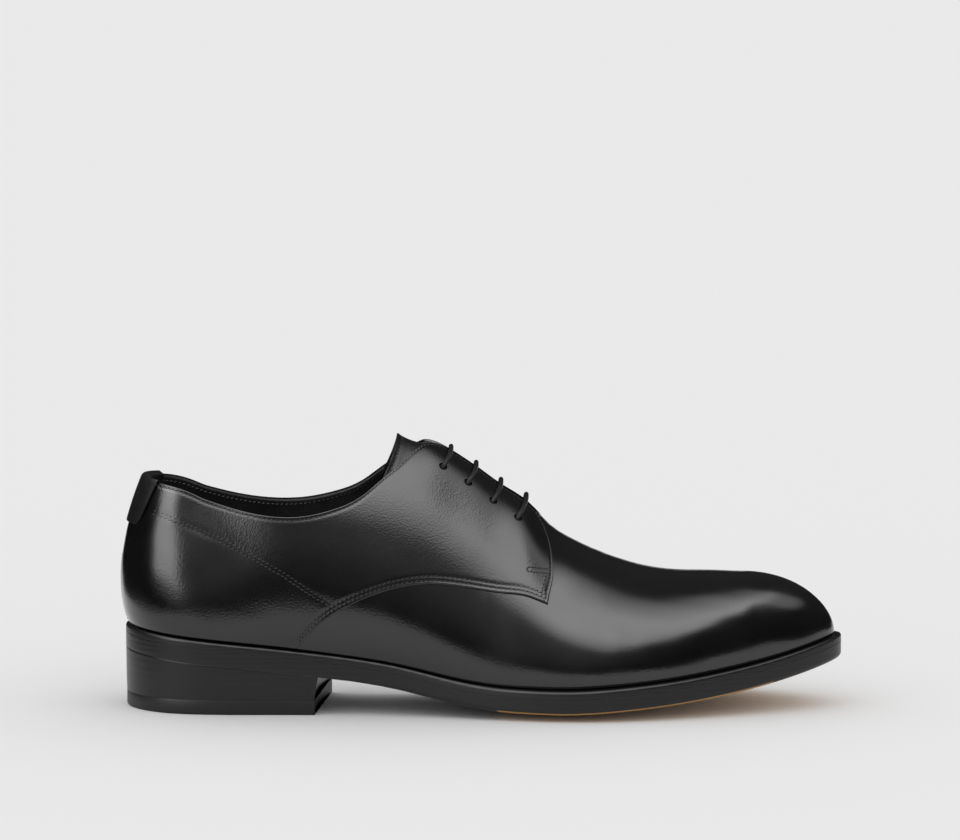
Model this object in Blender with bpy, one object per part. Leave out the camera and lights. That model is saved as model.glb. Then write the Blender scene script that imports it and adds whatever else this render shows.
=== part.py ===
"""A man's plain derby shoe for the right foot: the pieces a shoemaker puts together, at real size.

Metres, +Z up, the toe towards +X and the outer side of the foot towards -Y. The shoe stands on z = 0.

The upper is drawn on one surface, the last. A point of the last has two coordinates. The lap runs
round the foot from the toe (-1) along the outer side to the back of the heel (0), and along the
inner side back to the toe (1). The climb runs from the sole (0) up to the crest of the foot (1).
"""

import math

import bmesh
import bpy
import numpy as np
from mathutils import Matrix, Vector

# Driving dimensions of the last and the bottom
SOLE_LENGTH = 0.305
BALL_WIDTH = 0.105
INSTEP_RISE = 0.095
HEEL_RISE = 0.0252
TOE_SPRING = 0.0206
BOTTOM_CAMBER = 0.0037
HEEL_AXIS = 0.0335
TOE_BOX = 0.041

# Thicknesses of the layers, and the gap left between two pieces that touch
GAP = 0.0003
OUTSOLE_THICKNESS = 0.0062
WELT_THICKNESS = 0.0035
INSOLE_THICKNESS = 0.0028
VAMP_WALL = 0.0022
QUARTER_STEP = 0.0011
QUARTER_LINING = 0.0013
TONGUE_WALL = 0.0020
TAB_WALL = 0.0010

# Welt, heel and edges
WELT_SHELF = 0.0095
EDGE_ROUND = 0.0017
HEEL_LENGTH = 0.0856
HEEL_WIDTH = 0.066
HEEL_INSET = 0.0004
HEEL_BREAST_TURN = math.radians(6.0)
HEEL_BREAST_HOLLOW = 0.0020
HEEL_BREAST_LEAN = 0.0015
TOP_PIECE_THICKNESS = 0.0060
TOP_PIECE_BEVEL = 0.0005

# Facings, tongue, tab and laces
FACING_GAP_TOP = 0.0040
FACING_GAP_FOOT = 0.0160
VAMP_LAP = 0.0085
COUNTER_DROP = 0.0128
TONGUE_HALF_WIDTH = 0.0260
TONGUE_FLARE = 0.0026
TONGUE_FLARE_LENGTH = 0.030
TAB_LAP_TOP = 0.093
TAB_LAP_FOOT = 0.075
TAB_GAP = 0.0004
TAB_DROP = 0.0215
TAB_FOLD = 0.0055
TAB_CORNER = 0.0050
EYELET_RADIUS = 0.0019
EYELET_INSET = 0.0145
EYELET_TOP_MARGIN = 0.0080
EYELET_FOOT_MARGIN = 0.0059
EYELET_SPREAD = 0.0005
EYELET_ROWS = 4
LACE_RADIUS = 0.00105
LACE_DIP = 0.0012
LACE_LEAN = 0.0026
LACE_BOW = 0.0040
LACE_BEND = 0.12
TONGUE_GAP = 0.0008

# Half widths of the sole's edge from the line between heel back and toe tip, as shares of
# BALL_WIDTH, at stations that are shares of SOLE_LENGTH from the back of the heel
OUTLINE_COLUMNS = ("station", "outer", "inner")
OUTLINE = (
    (0.000, 0.000, 0.000),
    (0.025, 0.196, 0.196),
    (0.060, 0.276, 0.275),
    (0.110, 0.315, 0.306),
    (0.180, 0.324, 0.305),
    (0.260, 0.326, 0.292),
    (0.340, 0.341, 0.268),
    (0.420, 0.384, 0.258),
    (0.500, 0.451, 0.300),
    (0.580, 0.509, 0.388),
    (0.640, 0.524, 0.448),
    (0.700, 0.507, 0.478),
    (0.760, 0.460, 0.467),
    (0.820, 0.393, 0.423),
    (0.880, 0.311, 0.350),
    (0.930, 0.235, 0.270),
    (0.970, 0.152, 0.176),
    (1.000, 0.000, 0.000),
)

# How far the sole's edge stands out from the foot of the upper, as shares of BALL_WIDTH
MARGIN_COLUMNS = ("station", "margin")
MARGIN = (
    (0.00, 0.023),
    (0.15, 0.019),
    (0.30, 0.014),
    (0.42, 0.019),
    (0.55, 0.038),
    (0.70, 0.042),
    (0.85, 0.038),
    (1.00, 0.029),
)

# The lower edge of the sole seen from the side: its part of HEEL_RISE, its part of TOE_SPRING,
# and how much of BOTTOM_CAMBER the middle of the sole hangs below its edges
BOTTOM_COLUMNS = ("station", "heel", "toe", "camber")
BOTTOM = (
    (0.000, 1.000, 0.000, 0.00),
    (0.100, 0.861, 0.000, 0.00),
    (0.200, 0.742, 0.000, 0.00),
    (0.300, 0.603, 0.000, 0.10),
    (0.384, 0.448, 0.000, 0.45),
    (0.450, 0.275, 0.000, 0.80),
    (0.510, 0.166, 0.000, 0.97),
    (0.568, 0.132, 0.000, 1.00),
    (0.630, 0.098, 0.040, 1.00),
    (0.690, 0.060, 0.140, 0.95),
    (0.753, 0.020, 0.268, 0.80),
    (0.836, 0.000, 0.452, 0.60),
    (0.897, 0.000, 0.618, 0.45),
    (0.958, 0.000, 0.836, 0.30),
    (1.000, 0.000, 1.000, 0.20),
)

# Height of the crest of the foot above the sole's top edge, as shares of INSTEP_RISE
CREST_COLUMNS = ("station", "rise")
CREST = (
    (0.000, 0.787),
    (0.110, 0.847),
    (0.220, 0.886),
    (0.330, 0.975),
    (0.393, 0.996),
    (0.430, 0.987),
    (0.456, 0.957),
    (0.492, 0.899),
    (0.525, 0.836),
    (0.560, 0.770),
    (0.594, 0.661),
    (0.620, 0.606),
    (0.656, 0.546),
    (0.700, 0.483),
    (0.740, 0.441),
    (0.780, 0.417),
    (0.820, 0.400),
    (0.866, 0.373),
    (1.000, 0.373),
)

# Each section of the last is one curve from the sole to the crest. side_rise is the height of its
# first handle, a share of INSTEP_RISE, and bulge how far out the handle lies, a share of
# BALL_WIDTH. shoulder is the half width of the second handle and top_width that of the section's
# upper end, both shares of the half width at the sole. drop is how far the second handle hangs
# below that end, a share of INSTEP_RISE.
SECTION_COLUMNS = (
    "station", "side_rise", "outer_bulge", "inner_bulge",
    "outer_shoulder", "inner_shoulder", "drop", "top_width",
)
SECTION = (
    (0.000, 0.145, 0.057, 0.057, 1.22, 1.22, 0.379, 0.64),
    (0.110, 0.195, 0.047, 0.047, 0.76, 0.76, 0.316, 0.41),
    (0.220, 0.213, 0.060, 0.064, 0.95, 0.99, 0.290, 0.60),
    (0.330, 0.249, 0.092, 0.100, 0.86, 1.00, 0.170, 0.20),
    (0.393, 0.285, 0.100, 0.125, 0.68, 0.88, 0.020, 0.00),
    (0.450, 0.290, 0.076, 0.120, 0.60, 0.84, 0.000, 0.00),
    (0.490, 0.290, 0.052, 0.105, 0.60, 0.79, 0.000, 0.00),
    (0.560, 0.265, 0.042, 0.070, 0.59, 0.69, 0.000, 0.00),
    (0.640, 0.237, 0.043, 0.045, 0.59, 0.63, 0.000, 0.00),
    (0.720, 0.215, 0.035, 0.035, 0.61, 0.62, 0.000, 0.00),
    (0.800, 0.205, 0.030, 0.030, 0.65, 0.65, 0.000, 0.00),
    (0.866, 0.195, 0.026, 0.026, 0.67, 0.66, 0.000, 0.00),
    (1.000, 0.105, 0.010, 0.010, 0.60, 0.60, 0.000, 0.00),
)

# Where the crest runs in plan, as shares of BALL_WIDTH towards the inner side
RIDGE_COLUMNS = ("station", "offset")
RIDGE = (
    (0.000, 0.000),
    (0.330, 0.000),
    (0.450, 0.020),
    (0.560, 0.038),
    (0.660, 0.044),
    (0.780, 0.034),
    (0.866, 0.020),
    (1.000, 0.010),
)

# The collar's edge, as shares of the rise of the section that it crosses
COLLAR_COLUMNS = ("station", "height")
COLLAR = (
    (0.000, 0.836),
    (0.040, 0.809),
    (0.080, 0.772),
    (0.135, 0.715),
    (0.180, 0.682),
    (0.220, 0.668),
    (0.255, 0.670),
    (0.292, 0.691),
    (0.330, 0.741),
    (0.363, 0.828),
    (0.383, 0.882),
    (0.404, 0.950),
    (0.416, 0.983),
)

# The lower edge of the quarter, from the sole forward to its front corner, and the front edge
# from that corner up to the facing, as shares of the rise of the section that they cross
QUARTER_FOOT = 0.238
HEM_COLUMNS = ("station", "height")
HEM = (
    (0.238, 0.000),
    (0.256, 0.088),
    (0.278, 0.170),
    (0.310, 0.243),
    (0.346, 0.306),
    (0.382, 0.358),
    (0.418, 0.399),
    (0.454, 0.434),
    (0.502, 0.476),
    (0.557, 0.525),
    (0.589, 0.551),
)
# Each row: station, height
FRONT = (
    (0.589, 0.551),
    (0.592, 0.632),
    (0.5955, 0.717),
    (0.5952, 0.800),
    (0.5935, 0.864),
    (0.5885, 0.918),
    (0.5815, 0.960),
)
FRONT_FROM = 0.460
FACING_TURN = 0.566

# Half length of the tongue's sides from its crest, as stations: its free end slopes back
TONGUE_TIP = 0.379
TONGUE_CORNER = 0.356
TONGUE_ROOT = 0.600
TONGUE_SINK_FROM = 0.475
TONGUE_SINK_TO = 0.500

# The vamp's edge where it closes over the foot under the facings: how far from the crest it lies,
# over the surface, as a share of INSTEP_RISE
THROAT_COLUMNS = ("station", "distance")
THROAT = (
    (0.502, 0.470),
    (0.524, 0.395),
    (0.542, 0.315),
    (0.556, 0.232),
    (0.566, 0.145),
    (0.573, 0.065),
    (0.579, 0.000),
)

# Stations of the quarter's columns along its curved lower edge
QUARTER_STATIONS = (0.247, 0.262, 0.280, 0.300, 0.325, 0.352, 0.375, 0.392, 0.405, 0.415, 0.430)

# Counts of the mesh
LAPS = 33
CLIMBS = 9
QUARTER_ROWS = 9
FRONT_STEPS = 6
COLUMN_SAMPLES = 240
REAR_COLUMNS = 12
SOLE_LAPS = 32
HEEL_LAPS = 10
BREAST_STEPS = 8
CORNER_STEPS = 3
UNDERSIDE_RINGS = (0.88, 0.66, 0.44, 0.2, 0.0)
TONGUE_ROWS = 10
TONGUE_COLUMNS = 9
TAB_ROWS = 5
TAB_COLUMNS = 13
TAB_STRAIGHT = 0.65
LACE_STEPS = 6

# Steps of the slopes and small tolerances
STEP_OF_LAP = 0.0008
STEP_OF_CLIMB = 0.002
STEP_OF_X = 0.0003
LAP_TOLERANCE = 0.00008
MERGE_DISTANCE = 0.000025
SHARP_ANGLE = math.radians(35)
VAMP_HIGHEST = 0.97
THROAT_MARGIN = 0.012
QUARTER_FOOT_CLIMB = 0.012

BLACK_LEATHER = (0.012, 0.012, 0.013)
BLACK_EDGE = (0.014, 0.014, 0.015)
BLACK_RUBBER = (0.016, 0.016, 0.016)
BLACK_LINING = (0.020, 0.019, 0.018)
BLACK_CORD = (0.010, 0.010, 0.011)


def smooth_curve(knots, values):
    """The natural cubic spline through the points, as a function."""
    x = np.asarray(knots, float)
    y = np.asarray(values, float)
    count = len(x)
    span = np.diff(x)
    slope = np.diff(y) / span
    system = np.eye(count)
    target = np.zeros(count)
    for i in range(1, count - 1):
        system[i, i - 1 : i + 2] = span[i - 1], 2 * (span[i - 1] + span[i]), span[i]
        target[i] = 6 * (slope[i] - slope[i - 1])
    bend = np.linalg.solve(system, target)

    def at(where):
        t = np.clip(where, x[0], x[-1])
        i = np.clip(np.searchsorted(x, t) - 1, 0, count - 2)
        a = (x[i + 1] - t) / span[i]
        b = 1 - a
        curve = ((a**3 - a) * bend[i] + (b**3 - b) * bend[i + 1]) * span[i] ** 2 / 6
        return a * y[i] + b * y[i + 1] + curve

    return at


def table_curves(columns, rows, key=lambda station: station):
    """One smooth curve for each column of a table, by the column's name."""
    cells = np.array(rows, float)
    knots = key(cells[:, 0])
    return {name: smooth_curve(knots, cells[:, i]) for i, name in enumerate(columns) if i}


def turn_of(station):
    """The share of the half lap at a station: the ends of the outline are round in it."""
    return np.arccos(1 - 2 * np.clip(station, 0, 1)) / math.pi


WIDTHS = table_curves(OUTLINE_COLUMNS, OUTLINE, turn_of)
MARGINS = table_curves(MARGIN_COLUMNS, MARGIN)
BOTTOMS = table_curves(BOTTOM_COLUMNS, BOTTOM)
CRESTS = table_curves(CREST_COLUMNS, CREST)
SECTIONS = table_curves(SECTION_COLUMNS, SECTION)
RIDGES = table_curves(RIDGE_COLUMNS, RIDGE)
COLLARS = table_curves(COLLAR_COLUMNS, COLLAR)
HEMS = table_curves(HEM_COLUMNS, HEM)
THROATS = table_curves(THROAT_COLUMNS, THROAT)


def outline(lap):
    """The sole's edge in plan."""
    lap = (np.asarray(lap, float) + 1) % 2 - 1
    turn = np.abs(lap)
    x = SOLE_LENGTH * (1 - np.cos(math.pi * turn)) / 2
    y = np.where(lap < 0, -WIDTHS["outer"](turn), WIDTHS["inner"](turn)) * BALL_WIDTH
    return np.stack([x, y], axis=-1)


def inset_outline(lap, inset):
    """The sole's edge in plan, moved inwards."""
    ahead = outline(np.asarray(lap) + STEP_OF_LAP) - outline(np.asarray(lap) - STEP_OF_LAP)
    ahead /= np.linalg.norm(ahead, axis=-1, keepdims=True)
    outwards = np.stack([-ahead[..., 1], ahead[..., 0]], axis=-1)
    return outline(lap) - outwards * np.asarray(inset)[..., None]


def feather(lap, inset=0.0):
    """The line where the upper meets the sole, in plan, moved inwards by the inset."""
    station = outline(lap)[..., 0] / SOLE_LENGTH
    return inset_outline(lap, MARGINS["margin"](station) * BALL_WIDTH + inset)


def with_height(plan, z):
    return np.concatenate([plan, np.asarray(z)[..., None]], axis=-1)


def ridge_point(x):
    """The point in plan on the line that the crest follows, between heel axis and toe box."""
    x = np.clip(x, HEEL_AXIS, SOLE_LENGTH - TOE_BOX)
    return np.stack([x, RIDGES["offset"](x / SOLE_LENGTH) * BALL_WIDTH], axis=-1)


def edge_height(x):
    """Height of the sole's lower edge."""
    station = np.asarray(x) / SOLE_LENGTH
    return HEEL_RISE * BOTTOMS["heel"](station) + TOE_SPRING * BOTTOMS["toe"](station)


def underside(lap, reach):
    """The sole's underside at a share of the way from the ridge line to the edge, flat on the floor."""
    edge = outline(lap)
    middle = ridge_point(edge[..., 0])
    plan = middle + (edge - middle) * reach
    hang = BOTTOM_CAMBER * BOTTOMS["camber"](plan[..., 0] / SOLE_LENGTH) * (1 - reach**2)
    return with_height(plan, np.maximum(edge_height(plan[..., 0]) - hang, 0))


DECK = OUTSOLE_THICKNESS + GAP + WELT_THICKNESS


def crest_rise(station):
    return CRESTS["rise"](station) * INSTEP_RISE


def edge_top(x):
    """Height of the welt's upper face at the sole's edge."""
    return edge_height(x) + DECK


def crest_height(x):
    return edge_top(x) + crest_rise(x / SOLE_LENGTH)


def last(lap, climb):
    """The outside of the vamp."""
    lap, climb = np.broadcast_arrays(np.asarray(lap, float), np.asarray(climb, float))
    foot = feather(lap)
    x = foot[..., 0]
    middle = ridge_point(x)
    away = foot - middle
    half = np.linalg.norm(away, axis=-1)
    away = away / half[..., None]
    station = np.clip(x / SOLE_LENGTH, 0, 1)
    crest_at = np.minimum(x, SOLE_LENGTH - TOE_BOX)
    foot_z = edge_top(x) + GAP
    top_z = crest_height(crest_at)
    ahead = (crest_height(crest_at) - crest_height(crest_at - STEP_OF_X)) / STEP_OF_X
    part = {name: curve(station) for name, curve in SECTIONS.items()}
    side = _blend(part["outer_bulge"], part["inner_bulge"], away[..., 1])
    shoulder = half * _blend(part["outer_shoulder"], part["inner_shoulder"], away[..., 1])
    in_toe = np.where(x > SOLE_LENGTH - TOE_BOX, 1.0, 0.0)
    handles = (
        (half, foot_z),
        (half + side * BALL_WIDTH, foot_z + part["side_rise"] * INSTEP_RISE),
        (shoulder, top_z - np.maximum(part["drop"], 0) * INSTEP_RISE
         + in_toe * away[..., 0] * ahead * shoulder),
        (half * np.maximum(part["top_width"], 0), top_z),
    )
    rest = 1 - climb
    shares = (rest**3, 3 * rest**2 * climb, 3 * rest * climb**2, climb**3)
    out = sum(share * handle[0] for share, handle in zip(shares, handles))
    z = sum(share * handle[1] for share, handle in zip(shares, handles))
    return with_height(middle + away * out[..., None], z)


def _blend(outer, inner, sideways):
    """The outer side's value turning into the inner side's one round the heel and the toe."""
    share = (np.clip(sideways, -1, 1) + 1) / 2
    return outer + (inner - outer) * share


def lifted(lap, climb, lift):
    """A point this far outside the last, square to it."""
    lap, climb = np.broadcast_arrays(np.asarray(lap, float), np.asarray(climb, float))
    inner_climb = np.minimum(climb, 1 - STEP_OF_CLIMB)
    along = last(lap + STEP_OF_LAP, inner_climb) - last(lap - STEP_OF_LAP, inner_climb)
    up = last(lap, inner_climb + STEP_OF_CLIMB / 2) - last(lap, inner_climb - STEP_OF_CLIMB / 2)
    square = np.cross(up, along)
    square /= np.linalg.norm(square, axis=-1, keepdims=True)
    return last(lap, climb) + square * np.asarray(lift)[..., None]


def lap_at(station, side):
    """The lap of the point of the last's foot line at a station, on the outer (-1) or inner (1) side."""
    laps = side * np.linspace(0, 1, COLUMN_SAMPLES * 4)
    return np.interp(station * SOLE_LENGTH, feather(laps)[:, 0], laps)


def climb_at_height(lap, height):
    """How far up the section a height, as a share of its rise, lies."""
    climbs = np.linspace(0, 1, COLUMN_SAMPLES)
    z = last(lap, climbs)[:, 2]
    x = feather(np.array([lap]))[0, 0]
    return float(np.interp(edge_top(x) + height * crest_rise(x / SOLE_LENGTH), z, climbs))


def climb_from_crest(lap, distance):
    """How far up the section a point lies that is this far from the crest, over the surface."""
    climbs = np.linspace(0, 1, COLUMN_SAMPLES)
    points = last(lap, climbs)[::-1]
    walked = np.concatenate([[0], np.cumsum(np.linalg.norm(np.diff(points, axis=0), axis=1))])
    return float(np.interp(distance, walked, climbs[::-1]))


def mesh_object(name, points, faces, colour, roughness):
    """One named object with its own material, its doubled points merged and its faces turned out."""
    mesh = bpy.data.meshes.new(name)
    mesh.from_pydata([tuple(p) for p in points], [], faces)
    shape = bmesh.new()
    shape.from_mesh(mesh)
    bmesh.ops.remove_doubles(shape, verts=shape.verts, dist=MERGE_DISTANCE)
    bmesh.ops.recalc_face_normals(shape, faces=shape.faces)
    if shape.calc_volume(signed=True) < 0:
        bmesh.ops.reverse_faces(shape, faces=shape.faces)
    shape.to_mesh(mesh)
    shape.free()
    obj = bpy.data.objects.new(name, mesh)
    bpy.context.scene.collection.objects.link(obj)
    paint(obj, colour, roughness)
    return obj


def paint(obj, colour, roughness):
    material = bpy.data.materials.new(obj.name)
    material.use_nodes = True
    shader = material.node_tree.nodes["Principled BSDF"]
    shader.inputs["Base Color"].default_value = (*colour, 1.0)
    shader.inputs["Roughness"].default_value = roughness
    shader.inputs["Metallic"].default_value = 0.0
    obj.data.materials.clear()
    obj.data.materials.append(material)
    obj.data.shade_smooth()
    obj.data.set_sharp_from_angle(angle=SHARP_ANGLE)


def ring_solid(name, rings, closed, colour, roughness):
    """Bridges rings of equal length in turn. A closed one goes on to the first ring again."""
    count = len(rings[0])
    points = np.concatenate(rings)
    faces = []
    steps = len(rings) if closed else len(rings) - 1
    for i in range(steps):
        here, there = i * count, (i + 1) % len(rings) * count
        for j in range(count):
            k = (j + 1) % count
            faces.append((here + j, here + k, there + k, there + j))
    return mesh_object(name, points, faces, colour, roughness)


def sheet_solid(name, outer, inner, wrap, colour, roughness, open_top=None):
    """A wall between two grids of rows and columns. open_top says which columns end below the crest."""
    rows, columns = outer.shape[:2]
    points = np.concatenate([outer.reshape(-1, 3), inner.reshape(-1, 3)])
    shift = rows * columns
    last_column = columns if wrap else columns - 1
    faces = []
    for i in range(rows - 1):
        for j in range(last_column):
            k = (j + 1) % columns
            quad = (i * columns + j, i * columns + k, (i + 1) * columns + k, (i + 1) * columns + j)
            faces.append(quad)
            faces.append(tuple(v + shift for v in reversed(quad)))
    for j in range(last_column):
        k = (j + 1) % columns
        faces.append((j, j + shift, k + shift, k))
        top = (rows - 1) * columns
        if open_top is None or open_top[j] or open_top[k]:
            faces.append((top + j, top + k, top + k + shift, top + j + shift))
    if not wrap:
        for i in range(rows - 1):
            for j in (0, columns - 1):
                a, b = i * columns + j, (i + 1) * columns + j
                faces.append((a, b, b + shift, a + shift))
    return mesh_object(name, points, faces, colour, roughness)


def combine(target, tool, operation):
    """Applies an exact Boolean and removes the tool."""
    modifier = target.modifiers.new(operation.title(), "BOOLEAN")
    modifier.operation = operation
    modifier.solver = "EXACT"
    modifier.object = tool
    graph = bpy.context.evaluated_depsgraph_get()
    made = bpy.data.meshes.new_from_object(target.evaluated_get(graph))
    made.name = target.name
    target.modifiers.clear()
    target.data = made
    bpy.data.objects.remove(tool)
    return target


def vamp_top(lap):
    """How far up the vamp's own wall goes: under the quarter, and closed over the foot in front."""
    if abs(lap) >= lap_at(THROAT[-1][0], 1) - LAP_TOLERANCE:
        return 1.0
    station = feather(np.array([lap]))[0, 0] / SOLE_LENGTH
    hem = min(HEMS["height"](station) + VAMP_LAP / crest_rise(station), VAMP_HIGHEST)
    behind = min(COLLARS["height"](station) - COUNTER_DROP / crest_rise(station), VAMP_HIGHEST)
    mix = np.clip((station - QUARTER_FOOT) / (TONGUE_TIP - QUARTER_FOOT), 0, 1)
    mix = mix * mix * (3 - 2 * mix)
    low = climb_at_height(lap, behind * (1 - mix) + hem * mix)
    if station < THROAT[0][0]:
        return low
    return max(low, climb_from_crest(lap, float(THROATS["distance"](station)) * INSTEP_RISE))


def vamp_laps():
    """Columns of the vamp: evenly round the foot, with more of them where the throat closes."""
    even = np.linspace(0, 1, LAPS)
    throat = [float(lap_at(row[0], 1)) for row in THROAT]
    beside = [t for t in even if t < throat[0] - THROAT_MARGIN or t > throat[-1] + THROAT_MARGIN]
    half = np.array(sorted(beside + throat))
    return np.concatenate([half, -half[-2:0:-1]])


def quarter_laps(side):
    """Laps of the quarter's columns on one side, from the back seam to its front part."""
    rear = np.linspace(0, float(lap_at(QUARTER_FOOT, side)), REAR_COLUMNS)
    return list(rear) + [float(lap_at(station, side)) for station in QUARTER_STATIONS]


def facing_edge(station):
    """How far the facing's edge lies from the crest, over the surface."""
    share = np.clip((station - COLLAR[-1][0]) / (FACING_TURN - COLLAR[-1][0]), 0, 1)
    return (FACING_GAP_TOP + (FACING_GAP_FOOT - FACING_GAP_TOP) * share**2) / 2


def quarter_top(lap):
    """The climb of the collar's edge and, in front of it, of the facing's edge."""
    station = feather(np.array([lap]))[0, 0] / SOLE_LENGTH
    facing = climb_from_crest(lap, facing_edge(station))
    if station >= COLLAR[-1][0]:
        return facing
    return min(climb_at_height(lap, float(COLLARS["height"](station))), facing)


def quarter_grid(lift):
    """Both quarters as one band round the heel, from the outer front edge to the inner one."""
    rows = np.linspace(0, 1, QUARTER_ROWS)
    front_z = smooth_curve(np.linspace(0, 1, len(FRONT)), [r[1] for r in FRONT])
    front_s = smooth_curve(np.linspace(0, 1, len(FRONT)), [r[0] for r in FRONT])
    columns = []
    for side in (-1, 1):
        half = []
        for lap in quarter_laps(side):
            station = feather(np.array([lap]))[0, 0] / SOLE_LENGTH
            low = climb_at_height(lap, float(HEMS["height"](station))) if station > QUARTER_FOOT else 0.0
            low = max(low, climb_at_height(lap, 0.0) + QUARTER_FOOT_CLIMB)
            high = quarter_top(lap)
            half.append([(lap, low + (high - low) * r) for r in rows])
        corner = lap_at(FRONT[0][0], side)
        low_corner = climb_at_height(float(corner), FRONT[0][1])
        peak = float(lap_at(FRONT[-1][0], side))
        high_peak = climb_at_height(peak, FRONT[-1][1])
        for p in np.linspace(0, 1, FRONT_STEPS):
            column = []
            s_low = FRONT_FROM + (FRONT[0][0] - FRONT_FROM) * p
            s_high = FRONT_FROM + (FRONT[-1][0] - FRONT_FROM) * p
            lap_low, lap_high = float(lap_at(s_low, side)), float(lap_at(s_high, side))
            low = climb_at_height(lap_low, float(HEMS["height"](s_low)))
            turned = np.clip((s_high - FACING_TURN) / (FRONT[-1][0] - FACING_TURN), 0, 1) ** 2
            high = quarter_top(lap_high) * (1 - turned) + high_peak * turned
            for r in rows:
                edge_lap = float(lap_at(float(front_s(r)), side))
                edge_climb = climb_at_height(edge_lap, float(front_z(r)))
                share = (edge_climb - low_corner) / (high_peak - low_corner)
                station = FRONT_FROM + (float(front_s(r)) - FRONT_FROM) * p
                column.append((float(lap_at(station, side)), low + (high - low) * (r * (1 - p) + share * p)))
            half.append(column)
        columns.append(half)
    band = columns[0][::-1] + columns[1][1:]
    grid = np.array(band).transpose(1, 0, 2)
    return lifted(grid[..., 0], grid[..., 1], lift)


def meet_on_crest(grid, closed, toe):
    """Puts the upper ends of a closed section's two sides on one point, and those of the toe on one."""
    ends = grid[-1].copy()
    mirrored = ends[(-np.arange(len(ends))) % len(ends)]
    ends[closed] = (ends[closed] + mirrored[closed]) / 2
    ends[toe] = ends[toe].mean(axis=0)
    grid[-1] = ends


def build_upper():
    laps = vamp_laps()
    tops = np.array([vamp_top(lap) for lap in laps])
    share = np.linspace(0, 1, CLIMBS)[:, None]
    climbs = share * tops[None, :]
    lap_grid = np.broadcast_to(laps, climbs.shape)
    outer = lifted(lap_grid, climbs, 0.0)
    inner = lifted(lap_grid, climbs, -VAMP_WALL)
    inner[0] = with_height(feather(laps, VAMP_WALL), outer[0][:, 2])
    toe = feather(laps)[:, 0] >= SOLE_LENGTH - TOE_BOX
    for grid in (outer, inner):
        meet_on_crest(grid, tops >= 1, toe)
    upper = sheet_solid("upper", outer, inner, True, BLACK_LEATHER, 0.25, tops < 1)
    band = sheet_solid("quarters", quarter_grid(QUARTER_STEP), quarter_grid(-QUARTER_LINING),
                       False, BLACK_LEATHER, 0.25)
    for row, x in enumerate(eyelet_stations()):
        for side in (-1, 1):
            combine(band, eyelet_punch(row, x, side), "DIFFERENCE")
    combine(upper, band, "UNION")
    paint(upper, BLACK_LEATHER, 0.25)
    return upper


def eyelet_stations():
    """Where the eyelets lie along the shoe: evenly between the collar's front end and the facing's foot."""
    first = COLLAR[-1][0] * SOLE_LENGTH + EYELET_TOP_MARGIN
    final = FACING_TURN * SOLE_LENGTH - EYELET_FOOT_MARGIN
    return [float(x) for x in np.linspace(first, final, EYELET_ROWS)]


def eyelet_reach(row, x):
    """How far an eyelet lies from the crest. The rows spread a little towards the foot."""
    return facing_edge(x / SOLE_LENGTH) + EYELET_INSET + EYELET_SPREAD * row


def eyelet_frame(row, x, side):
    """The middle and the outward direction of an eyelet."""
    lap = float(lap_at(x / SOLE_LENGTH, side))
    climb = climb_from_crest(lap, eyelet_reach(row, x))
    middle = lifted(lap, climb, 0.0)
    outwards = lifted(lap, climb, 1.0) - middle
    return Vector(middle), Vector(outwards).normalized()


def eyelet_punch(row, x, side):
    middle, outwards = eyelet_frame(row, x, side)
    mesh = bpy.data.meshes.new("punch")
    shape = bmesh.new()
    bmesh.ops.create_cone(shape, cap_ends=True, segments=10, radius1=EYELET_RADIUS,
                          radius2=EYELET_RADIUS, depth=4 * (QUARTER_STEP + QUARTER_LINING))
    shape.to_mesh(mesh)
    shape.free()
    punch = bpy.data.objects.new("punch", mesh)
    bpy.context.scene.collection.objects.link(punch)
    punch.hide_render = True
    punch.display_type = "WIRE"
    punch.matrix_world = Matrix.Translation(middle) @ outwards.to_track_quat("Z", "Y").to_matrix().to_4x4()
    bpy.context.view_layer.update()
    return punch


def even_laps(count):
    """Laps evenly round the whole foot, from the heel along the inner side and back."""
    half = np.linspace(0, 1, count + 1)
    return np.concatenate([half, -half[-2:0:-1]])


def cap_faces(first, count):
    """Quads across a ring whose points lie in pairs: n from the start and n from the end."""
    faces = [(first, first + 1, first + count - 1)]
    for i in range(1, count // 2 - 1):
        faces.append((first + i, first + i + 1, first + count - i - 1, first + count - i))
    middle = count // 2
    faces.append((first + middle - 1, first + middle, first + middle + 1))
    return faces


def plate(name, rings, colour, roughness):
    """A solid through rings of equal length, with a cap across the first and across the last."""
    count = len(rings[0])
    faces = cap_faces(0, count) + cap_faces((len(rings) - 1) * count, count)
    for i in range(len(rings) - 1):
        here, there = i * count, (i + 1) * count
        for j in range(count):
            k = (j + 1) % count
            faces.append((here + j, here + k, there + k, there + j))
    return mesh_object(name, np.concatenate(rings), faces, colour, roughness)


def round_corner(radius):
    """Insets and drops of a quarter round, from the face to the side."""
    turns = np.linspace(0, math.pi / 2, CORNER_STEPS + 1)
    return [(radius * (1 - math.sin(t)), radius * (1 - math.cos(t))) for t in turns]


def build_welt():
    laps = even_laps(SOLE_LAPS)
    floor = OUTSOLE_THICKNESS + GAP
    rings = []
    for inset, drop in round_corner(EDGE_ROUND):
        plan = inset_outline(laps, inset)
        rings.append(with_height(plan, edge_top(plan[:, 0]) - drop))
    for inset, rise in ((0.0, floor), (WELT_SHELF, floor), (WELT_SHELF, DECK)):
        plan = inset_outline(laps, inset)
        rings.append(with_height(plan, edge_height(plan[:, 0]) + rise))
    return ring_solid("welt", rings, True, BLACK_EDGE, 0.35)


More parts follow.
